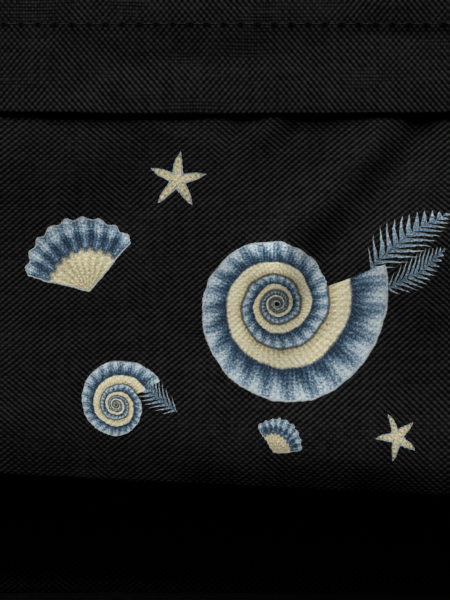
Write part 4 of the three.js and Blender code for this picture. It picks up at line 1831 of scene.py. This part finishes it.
        made = sheet_mesh("storm_flap_cloth", places, cloth, bias=-0.5)
        row = int(np.argmin(np.abs(heights - self.stitch_height)))
        self.flap_seam = SewingPath.along(places, row=row, lift=0.02 * MM).between(0.03, 0.97)
        thicken(made, 0.4 * MM)
        dress(made, self.finishes.flap, Slot.POCKET_CLOTH, ["storm_flap"])

    def build_gusset(self) -> None:
        """Builds the band round the pocket, from the bag's front to the pocket's rolled edge."""
        rear, front, hem = -20.0 * MM, -35.9 * MM, 0.035
        points, outward, travel = self.outline.walk(1.0 * MM)
        share = np.concatenate([[0.0, 0.03, 0.07], np.linspace(0.12, 0.88, 12), [0.92, 0.96, 1.0]])
        t, forward = np.meshgrid(travel, share)
        turned = 0.9 * MM * (np.exp(-forward / hem) + np.exp(-(1.0 - forward) / hem))
        arch = np.sin(math.pi * forward)
        swell = 0.7 * MM * arch
        pucker = 0.25 * MM * Unevenness(21, 9 * MM, 10).at(t, forward * 6 * MM) * arch
        offset = swell + pucker - turned
        x = points[:, 0] + outward[:, 0] * offset
        z = points[:, 1] + outward[:, 1] * offset
        y = rear + (front - rear) * forward
        z = z + self.rim_slope(x, z) * forward
        made = sheet_mesh("pocket_side_band", stacked(x, y, z), stacked(t, -y), merge=True)
        thicken(made, self.cloth)
        dress(made, self.finishes.body, Slot.BODY_CLOTH, ["pocket_gusset"])

    def build_facing(self) -> None:
        """Builds the folded cloth behind the flap that joins it to the zip's upper tape."""
        share = np.linspace(0.0, 1.0, 25)
        marks = np.linspace(0.0, 1.0, len(self.facing_course))
        y, z = (
            smooth_through([(mark, value * MM) for mark, value in zip(marks, values)], share)
            for values in zip(*self.facing_course)
        )
        xs = np.linspace(-90 * MM, 90 * MM, 121)
        x, row_y = np.meshgrid(xs, y)
        row_z = np.meshgrid(xs, z)[1]
        row_y = row_y + 0.15 * MM * Unevenness(23, 15 * MM).at(x, row_z)
        cloth = stacked(x, np.meshgrid(xs, share * 12 * MM)[1])
        made = sheet_mesh("flap_allowance", stacked(x, row_y, row_z), cloth)
        thicken(made, 0.8 * MM)
        dress(made, self.finishes.body, Slot.BODY_CLOTH, ["flap_facing"])

    def build(self) -> None:
        """Builds the whole pocket."""
        self.build_gusset()
        self.build_panel()
        self.build_flap()
        self.build_facing()
        self.stitching.sew("flap_stitches", [self.flap_seam], self.finishes, Slot.POCKET_CLOTH)


@dataclass
class MainBody:
    """The bag's shell: front, padded back, gusset, top strips and piping."""

    finishes: Finishes
    cloth: float = 1.1 * MM
    outline: RoundedOutline = RoundedOutline(125 * MM, 0.0, 183 * MM, 30 * MM)
    front_seam: float = -17.4 * MM
    back_seam: float = 42.0 * MM
    middle: float = 12.3 * MM
    opening_half: float = 91.6 * MM
    slot_half: float = 7.0 * MM
    piping_radius: float = 1.9 * MM
    topstitch: Stitching = Stitching()
    strip_seams: list[SewingPath] = field(default_factory=list)
    patch_seams: list[SewingPath] = field(default_factory=list)
    end_seams: list[SewingPath] = field(default_factory=list)
    padding_seam: SewingPath = field(init=False)
    # Distance from the middle of the zip and height of the top strips, in millimetres
    crown_course: tuple[tuple[float, float], ...] = (
        (0, 184.3), (5, 184.3), (7, 184.4), (8, 184.7), (11, 185.1), (15, 185.25), (19, 185.0),
        (23, 184.4), (26, 183.5), (27.6, 182.6), (29.2, 181.4),
    )

    def crown(self, y: Grid) -> Grid:
        """Height of the top strips' outer face at a depth."""
        points = [(place * MM, height * MM) for place, height in self.crown_course]
        return smooth_through(points, np.abs(y - self.middle))

    def build_gusset(self) -> None:
        """Builds the band round the bottom, the sides and the shoulders."""
        line = self.outline
        total = 2.0 * (2.0 * (line.half_width - line.radius)
                       + line.high - line.low - 2.0 * line.radius + math.pi * line.radius)
        start = self.opening_half / total
        points, outward, travel = line.walk(1.5 * MM, start, 1.0 - start)
        depth = self.back_seam - self.front_seam
        share = np.concatenate(
            [[0.0, 0.012, 0.03, 0.055], np.linspace(0.085, 0.915, 34), [0.945, 0.97, 0.988, 1.0]]
        )
        t, forward = np.meshgrid(travel, share)
        y = self.back_seam - depth * forward
        facing_down = np.broadcast_to(-outward[:, 1], y.shape)
        grounded = ease(facing_down, 0.55, 0.98)
        arch = 1.0 - (2.0 * forward - 1.0) ** 2
        hem = 1.6 * MM
        seam = np.exp(-forward * depth / hem) + np.exp(-(1.0 - forward) * depth / hem)
        near_seam = np.exp(-forward * 5) + np.exp((forward - 1) * 5)
        folds = Unevenness(31, 17 * MM, 12).at(t, forward * 9 * MM) * arch
        pucker = Unevenness(32, 8 * MM, 10).at(t, forward * 3 * MM) * near_seam
        swell = 2.9 * MM * arch + 0.45 * MM * folds + 0.22 * MM * pucker
        offset = swell * (1.0 - 0.93 * grounded) - 1.5 * MM * seam
        x = points[:, 0] + outward[:, 0] * offset
        z = points[:, 1] + outward[:, 1] * offset
        from_end = np.minimum(t, travel[-1] - t)
        lapped = 1.0 - ease(from_end, 3 * MM, 24 * MM)
        dip = 0.65 * MM * bump(y, self.middle, 5 * MM)
        z = z * (1.0 - lapped) + (self.crown(y) + 0.75 * MM - dip) * lapped
        z = np.maximum(z, 0.0)
        places = stacked(x, y, z)
        made = sheet_mesh("side_and_bottom_band", places, stacked(t, -y))
        for column in (1, -2):
            self.end_seams.append(SewingPath.along(places[3:-3], column=column, lift=0.1 * MM))
        thicken(made, self.cloth)
        dress(made, self.finishes.strip, Slot.BODY_CLOTH, ["gusset"])

    def build_strip(self, side: Side) -> None:
        """Builds one top strip beside the zip, folded under along the zip.

        Args:
            side: Which strip.
        """
        fold = 0.62 * MM
        seam = 29.0 * MM
        edge = self.slot_half + fold
        outer = np.concatenate([np.linspace(seam, 26 * MM, 6), np.linspace(25.2 * MM, edge, 26)])
        turn = np.linspace(math.pi / 2.0, -math.pi / 2.0, 8)[1:]
        under = np.linspace(edge, 15 * MM, 10)[1:]
        away = np.concatenate([outer, edge - fold * np.cos(turn), under])
        level = np.concatenate([outer, np.full(len(turn), edge), under])
        drop = np.concatenate(
            [np.zeros(len(outer)), fold * (1.0 - np.sin(turn)), np.full(len(under), 2.0 * fold)]
        )
        profile_z = self.crown(self.middle + level) - drop
        run = np.concatenate([[0.0], np.cumsum(np.hypot(np.diff(away), np.diff(profile_z)))])
        if side is Side.FAR:
            away, profile_z, run = away[::-1], profile_z[::-1], run[::-1]
        xs = np.linspace(-97 * MM, 97 * MM, 156)
        x, distance = np.meshgrid(xs, away)
        z = np.meshgrid(xs, profile_z)[1]
        wave = Unevenness(41 if side is Side.NEAR else 42, 22 * MM, 12).at(x, distance * 0.7)
        free = ease(distance, self.slot_half, self.slot_half + 6 * MM)
        free = free * (1.0 - ease(distance, 22 * MM, 28 * MM))
        quick = 0.08 * MM * Unevenness(43, 7 * MM).at(x, distance)
        z = z + 0.28 * MM * wave * free + quick * free
        shift = 0.12 * MM * Unevenness(44, 30 * MM).at(x, 0.0 * x)
        places = stacked(x, self.middle + side.value * (distance + shift), z)
        cloth = stacked(x, np.meshgrid(xs, run)[1])
        made = sheet_mesh(f"top_strip_{side.name.lower()}", places, cloth)
        folded_under = profile_z < self.crown(self.middle + 9 * MM) - 0.8 * MM
        row = int(np.argmin(np.abs(away - self.slot_half - 2.2 * MM) + 10.0 * folded_under))
        path = SewingPath.along(places, row=row, lift=0.1 * MM).between(0.035, 0.965)
        self.strip_seams.append(path)
        thicken(made, 0.45 * MM)
        node = "top_strip_front" if side is Side.NEAR else "top_strip_back"
        dress(made, self.finishes.body, Slot.BODY_CLOTH, [node])

    def build_end_patch(self, end: float) -> None:
        """Builds the folded patch that covers one end of the zip.

        Args:
            end: -1 for the left end, 1 for the right.
        """
        edge = 0.5 * MM
        inner, outer = 84.2 * MM, 96.0 * MM
        half = self.slot_half - 0.45 * MM
        turn = np.linspace(math.pi / 2.0, -math.pi / 2.0, 8)[1:]
        span = np.concatenate(
            [np.linspace(outer, inner + edge, 14), inner + edge - edge * np.cos(turn)]
        )
        drop = np.concatenate([np.zeros(14), edge * (1.0 - np.sin(turn))])
        ys = np.linspace(-half, half, 18)
        across, away = np.meshgrid(span, ys)
        uneven = 0.06 * MM * Unevenness(51, 5 * MM).at(across, away)
        z = 184.05 * MM - np.meshgrid(drop, ys)[0] + uneven
        sag = 0.25 * MM * (1.0 - (away / half) ** 2)
        places = stacked(end * across, self.middle + away, z - sag)
        cloth = stacked(across, away)
        if end > 0:
            places, cloth = places[:, ::-1], cloth[:, ::-1]
        node = "zip_end_patch_right" if end > 0 else "zip_end_patch_left"
        made = sheet_mesh(node + "_cloth", places, cloth)
        column = int(np.argmin(np.abs(np.abs(places[0, :, 0]) - inner - 1.9 * MM)))
        path = SewingPath.along(places, column=column, lift=0.08 * MM).between(0.06, 0.94)
        self.patch_seams.append(path)
        thicken(made, 0.45 * MM)
        dress(made, self.finishes.body, Slot.BODY_CLOTH, [node])

    def build_piping(self, name: str, centre_y: float, seed: int) -> None:
        """Builds one closed run of corded piping.

        Args:
            name: The node that it stands for.
            centre_y: Depth of its centre line.
            seed: Seed of its slight waviness.
        """
        line = self.outline.inset(2.12 * MM)
        points, outward, travel = line.walk(1.2 * MM)
        level = 0.0 * travel
        open_part = np.minimum(1.0, 6.0 * np.sin(math.pi * travel / travel[-1]))
        wave = 0.16 * MM * Unevenness(seed, 26 * MM).at(travel, level) * open_part
        path = stacked(points[:, 0], centre_y + wave, points[:, 1])
        path[:, 0] += outward[:, 0] * wave * 0.6
        path[:, 2] += outward[:, 1] * wave * 0.6
        swell = 0.03 * Unevenness(seed + 1, 11 * MM).at(travel, level) * open_part
        places, cloth = tube_places(path, self.piping_radius * (1.0 + swell), 22, (0.0, 1.0, 0.0))
        places[..., 2] = np.maximum(places[..., 2], 0.0)
        along, around = cloth[..., 0], cloth[..., 1]
        on_the_bias = stacked(along + around, along - around) * math.sqrt(0.5)
        made = sheet_mesh(name + "_cord", places, on_the_bias, merge=True)
        dress(made, self.finishes.piping, Slot.PIPING, [name])

    def panel_grid(self, step: float) -> tuple[Grid, Grid, Grid]:
        """A grid over a face panel, from piping to piping.

        Args:
            step: Distance between points.

        Returns:
            Places along the width, heights, and distances from the edge.
        """
        edge = self.outline.inset(2.6 * MM)
        xs = np.linspace(-edge.half_width, edge.half_width, round(2.0 * edge.half_width / step) + 1)
        zs = np.linspace(edge.low, edge.high, round((edge.high - edge.low) / step) + 1)
        x, z = np.meshgrid(xs, zs)
        x, z = edge.round_off(x, z)
        return x, z, np.maximum(edge.distance(x, z), 0.0)

    def build_front(self) -> None:
        """Builds the flat front panel that carries the pocket."""
        x, z, inside = self.panel_grid(1.6 * MM)
        near = np.exp(-inside / (7 * MM))
        slow = 0.35 * MM * Unevenness(61, 60 * MM).at(x, z)
        quick = 0.12 * MM * Unevenness(62, 14 * MM).at(x, z)
        pucker = 0.3 * MM * near * Unevenness(63, 9 * MM, 10).at(x, z)
        held = ease(inside, 0.0, 9 * MM)
        free = 1.0 - np.exp(-inside / (1.5 * MM))
        turned = 1.5 * MM * (1.0 - roll(inside, 3 * MM))
        y = -19.75 * MM - ((slow + quick) * held + pucker) * free + turned
        made = sheet_mesh("front_face", stacked(x, y, z), stacked(x, z))
        thicken(made, self.cloth)
        dress(made, self.finishes.body, Slot.BODY_CLOTH, ["front_panel"])

    def build_back(self) -> None:
        """Builds the padded back, held along its edge and one stitched line, and puffed up."""
        x, z, inside = self.panel_grid(2.2 * MM)
        line, deepest = 11.0 * MM, 47.2 * MM
        near = np.exp(-inside / (7 * MM))
        free = 1.0 - np.exp(-inside / (1.5 * MM))
        held = (inside < 1.0 * MM) | (np.abs(inside - line) < 1.2 * MM)
        slow = 0.25 * MM * Unevenness(71, 55 * MM).at(x, z)
        pucker = 0.25 * MM * near * Unevenness(72, 9 * MM, 10).at(x, z)
        swell = 2.0 * MM * ease(inside, line, line + 30 * MM)
        swell += 0.9 * MM * ease(inside, 0.0, 4 * MM)
        swell += slow * ease(inside, line, line + 20 * MM)
        swell += pucker * free
        flat = stacked(x, 42.6 * MM + swell, z)[:, ::-1]
        cloth = stacked(-x, z)[:, ::-1]
        inside, held = inside[:, ::-1], held[:, ::-1]
        flat = puff_up(flat, cloth, held, pressure=4.0, most=2.4 * MM)
        flat[..., 1] -= 0.9 * MM * bump(inside, line, 1.3 * MM)
        flat[..., 1] = np.minimum(flat[..., 1], deepest)
        made = sheet_mesh("padded_back", flat, cloth)
        thicken(made, self.cloth)
        dress(made, self.finishes.body, Slot.BODY_CLOTH, ["back_panel"])
        points, _, _ = self.outline.inset(2.6 * MM + line).walk(2.0 * MM)
        shell = flat.reshape(-1, 3)
        depth = [
            shell[np.argmin((shell[:, 0] - px) ** 2 + (shell[:, 2] - pz) ** 2), 1]
            for px, pz in points
        ]
        smooth = np.convolve(np.pad(depth, 3, mode="wrap"), np.ones(7) / 7.0, mode="valid")
        route = stacked(points[:, 0], smooth + 0.15 * MM, points[:, 1])
        self.padding_seam = SewingPath(route, np.tile([0.0, 1.0, 0.0], (len(route), 1)))

    def build(self) -> None:
        """Builds the whole shell."""
        self.build_front()
        self.build_back()
        self.build_gusset()
        for side in Side:
            self.build_strip(side)
        for end in (-1.0, 1.0):
            self.build_end_patch(end)
        self.build_piping("piping_front", -18.7 * MM, 81)
        self.build_piping("piping_back", 43.3 * MM, 91)
        for name, seams in (
            ("top_strip_stitches", self.strip_seams),
            ("zip_end_stitches", self.patch_seams + self.end_seams),
            ("padding_stitches", [self.padding_seam]),
        ):
            self.topstitch.sew(name, seams, self.finishes, Slot.BODY_CLOTH)


PADDING_STEPS = 20


def puff_up(places: Grid, cloth: Grid, held: Grid, pressure: float, most: float) -> Grid:
    """Lets padding push a sheet outwards in a cloth simulation.

    Args:
        places: The sheet at rest, rows by columns by 3.
        cloth: Its distances along the cloth.
        held: Which points the stitches hold.
        pressure: The padding's pressure.
        most: How far a point may move.

    Returns:
        The sheet's places after the simulation.
    """
    sheet = sheet_mesh("padding_trial", places, cloth)
    pins = sheet.vertex_groups.new(name="Held")
    pins.add([int(index) for index in np.flatnonzero(held.ravel())], 1.0, "REPLACE")
    settings = sheet.modifiers.new("Padding", "CLOTH").settings
    values = {
        "quality": 6, "mass": 0.25, "tension_stiffness": 20.0, "compression_stiffness": 20.0,
        "shear_stiffness": 8.0, "bending_stiffness": 0.6, "use_pressure": True,
        "uniform_pressure_force": pressure, "vertex_group_mass": "Held",
    }
    for name, value in values.items():
        setattr(settings, name, value)
    settings.effector_weights.gravity = 0.0
    scene = bpy.context.scene
    for step in range(1, PADDING_STEPS + 1):
        scene.frame_set(step)
    blown = sheet.evaluated_get(bpy.context.evaluated_depsgraph_get())
    after = np.zeros(places.size, np.float32)
    blown.data.vertices.foreach_get("co", after)
    scene.frame_set(1)
    bpy.data.objects.remove(sheet)
    moved = after.reshape(places.shape).astype(float) - places
    length = np.linalg.norm(moved, axis=-1, keepdims=True)
    log.info("padding moved up to %.2f mm", float(length.max()) / MM)
    return places + moved * np.minimum(1.0, most / np.maximum(length, 1e-9))


@dataclass
class ZipFastener:
    """A coil zip, built flat along X with its outer face up, then put in place."""

    finishes: Finishes
    name: str
    place: Matrix
    runner: Body
    puller: Body
    tape_half: float
    coil_half: float
    tape_outer: float = 14.8 * MM
    tape_inner: float = 1.0 * MM
    tooth_pitch: float = 1.3 * MM
    tooth_reach: float = 2.5 * MM
    monofilament: float = 0.33 * MM

    def build_tape(self, side: Side) -> None:
        """Builds one woven tape.

        Args:
            side: Which half of the zip.
        """
        count = round(2.0 * self.tape_half / (1.3 * MM))
        xs = np.linspace(-self.tape_half, self.tape_half, count + 1)
        spread = np.linspace(self.tape_outer, self.tape_inner, 18)
        if side is Side.FAR:
            spread = spread[::-1]
        x, away = np.meshgrid(xs, spread)
        bead = 0.16 * MM * bump(away, 4.0 * MM, 0.5 * MM)
        wave = 0.1 * MM * Unevenness(len(self.name), 25 * MM).at(x, away)
        z = bead + wave * ease(away, 3 * MM, 9 * MM) - 0.05 * MM
        node = f"{self.name}_tape_{side.name.lower()}"
        made = sheet_mesh(node + "_woven", stacked(x, side.value * away, z), stacked(x, away))
        thicken(made, 0.5 * MM)
        move_mesh(made, self.place)
        dress(made, self.finishes.tape, Slot.TAPE, [node])

    def tooth_shape(self, side: Side) -> Object:
        """One turn of the coil: over to the head, back underneath, and up to the next turn."""
        turn = np.linspace(0.0, TURN, 15)
        flat = np.sign(np.cos(turn)) * np.abs(np.cos(turn)) ** 0.6
        across = -self.tooth_reach / 2.0 * (1.0 + flat) + 0.32 * MM
        bulge = 1.0 + 0.35 * bump(turn, math.pi, 0.5)
        height = 0.45 * MM + 0.62 * MM * np.sin(turn) * bulge
        along = self.tooth_pitch * (turn / TURN)
        points = stacked(along, -side.value * across, height)
        radii = self.monofilament * (1.0 + 0.35 * bump(turn, math.pi, 0.6))
        places, cloth = tube_places(points, radii, 5, (1.0, 0.0, 0.0))
        return sheet_mesh("tooth_shape", places, cloth)

    def build_coil(self, side: Side) -> None:
        """Builds one row of teeth.

        Args:
            side: Which half of the zip.
        """
        shape = self.tooth_shape(side)
        shift = 0.0 if side is Side.NEAR else self.tooth_pitch / 2.0
        xs = np.array([-self.coil_half + shift, self.coil_half - self.tooth_pitch + shift])
        course = SewingPath(stacked(xs, 0.0 * xs, 0.0 * xs), np.tile([0.0, 0.0, 1.0], (2, 1)))
        node = f"{self.name}_coil_{side.name.lower()}"
        made = Repeat(self.tooth_pitch).make(node + "_teeth", [course], shape, self.finishes.coil)
        bpy.data.objects.remove(shape)
        move_mesh(made, self.place)
        dress(made, self.finishes.coil, Slot.COIL, [node])

    def build_metal(self, part: str, edge: float, body: Body) -> None:
        """Builds one enamelled part from its solid, with rounded edges.

        Args:
            part: The last words of the solid's name.
            edge: Radius of its edges.
            body: The body that it rides on.
        """
        node = f"{self.name}_{part}"
        made = softened_copy(node, node + "_enamelled", edge)
        dress(made, self.finishes.enamel, Slot.METAL, [node], body)

    def build(self) -> None:
        """Builds the whole zip."""
        for side in Side:
            self.build_tape(side)
            self.build_coil(side)
        for stop in ("top_stop_near", "top_stop_far", "bottom_stop"):
            self.build_metal(stop, 0.3 * MM, Body.BAG)
        self.build_metal("slider", 0.35 * MM, self.runner)
        self.build_metal("pull", 0.2 * MM, self.puller)


# Studio

@dataclass(frozen=True)
class SoftBox:
    """A round soft light that faces the bag."""

    name: str
    place: tuple[float, float, float]
    size: float
    power: float

    def add(self) -> None:
        """Adds the light to the scene."""
        light = bpy.data.lights.new(self.name, "AREA")
        light.shape = "DISK"
        light.size = self.size
        light.energy = self.power
        lamp = link_object(self.name, light)
        lamp.location = self.place
        heading = Vector((0.0, 0.0, 0.09)) - Vector(self.place)
        lamp.rotation_euler = heading.to_track_quat("-Z", "Y").to_euler()


@dataclass(frozen=True)
class Studio:
    """The camera, the lights, the sky and the paper."""

    lights: tuple[SoftBox, ...] = (
        SoftBox("Key", (-0.23, -1.0, 1.9), 1.0, 72.0),
        SoftBox("Back", (0.35, 0.9, 0.95), 0.6, 34.0),
        SoftBox("Left", (-1.0, 0.35, 0.75), 0.5, 22.0),
        SoftBox("Right", (1.0, 0.3, 0.7), 0.5, 22.0),
    )
    view_height: float = 600 * 0.25 * MM
    view_bottom: float = 6 * MM
    distance: float = 0.5
    front: float = -46 * MM
    sensor: float = 36.0
    sky: float = 0.9
    sky_strength: float = 0.5

    def add_camera(self) -> None:
        """Adds the camera, which looks straight at the pocket at the photo's scale."""
        camera = link_object("Camera", bpy.data.cameras.new("Camera"))
        camera.data.sensor_width = self.sensor
        camera.data.lens = self.sensor * self.distance / self.view_height
        centre_z = self.view_bottom + self.view_height / 2.0
        camera.location = (0.0, self.front - self.distance, centre_z)
        camera.rotation_euler = (math.pi / 2.0, 0.0, 0.0)
        bpy.context.scene.camera = camera

    def add_sky(self) -> None:
        """Adds the world, bright overhead and dark at the sides."""
        world = bpy.data.worlds.new("Studio")
        world.use_nodes = True
        nodes = Nodes(world.node_tree)
        _, _, up = nodes.parts(nodes.add("ShaderNodeTexCoord").outputs["Generated"])
        nodes.fed(world.node_tree.nodes["Background"], {
            "Color": nodes.scaled(grey(self.sky), up.step(0.3, 0.9)),
            "Strength": self.sky_strength,
        })
        bpy.context.scene.world = world

    def build(self) -> None:
        """Builds the whole studio."""
        self.add_camera()
        for light in self.lights:
            light.add()
        self.add_sky()
        StudioPaper().build()
        bpy.context.scene.view_settings.view_transform = "Standard"


def main() -> None:
    """Builds the bag's pieces in order."""
    logging.basicConfig(level=logging.INFO)
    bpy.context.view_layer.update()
    finishes = Finishes.make()
    MainBody(finishes).build()
    FrontPocket(finishes).build()
    upright = Matrix.Rotation(math.pi / 2.0, 4, "X")
    ZipFastener(
        finishes, name="main_zip", place=Matrix.Translation((0.0, 12.3 * MM, 182.35 * MM)),
        runner=Body.MAIN_RUNNER, puller=Body.MAIN_PULL, tape_half=95 * MM, coil_half=80 * MM,
    ).build()
    ZipFastener(
        finishes, name="pocket_zip",
        place=Matrix.Translation((0.0, -38.3 * MM, 140 * MM)) @ upright,
        runner=Body.POCKET_RUNNER, puller=Body.POCKET_RUNNER, tape_half=90 * MM,
        coil_half=88 * MM,
    ).build()
    Studio().build()


if __name__ == "__main__":
    main()
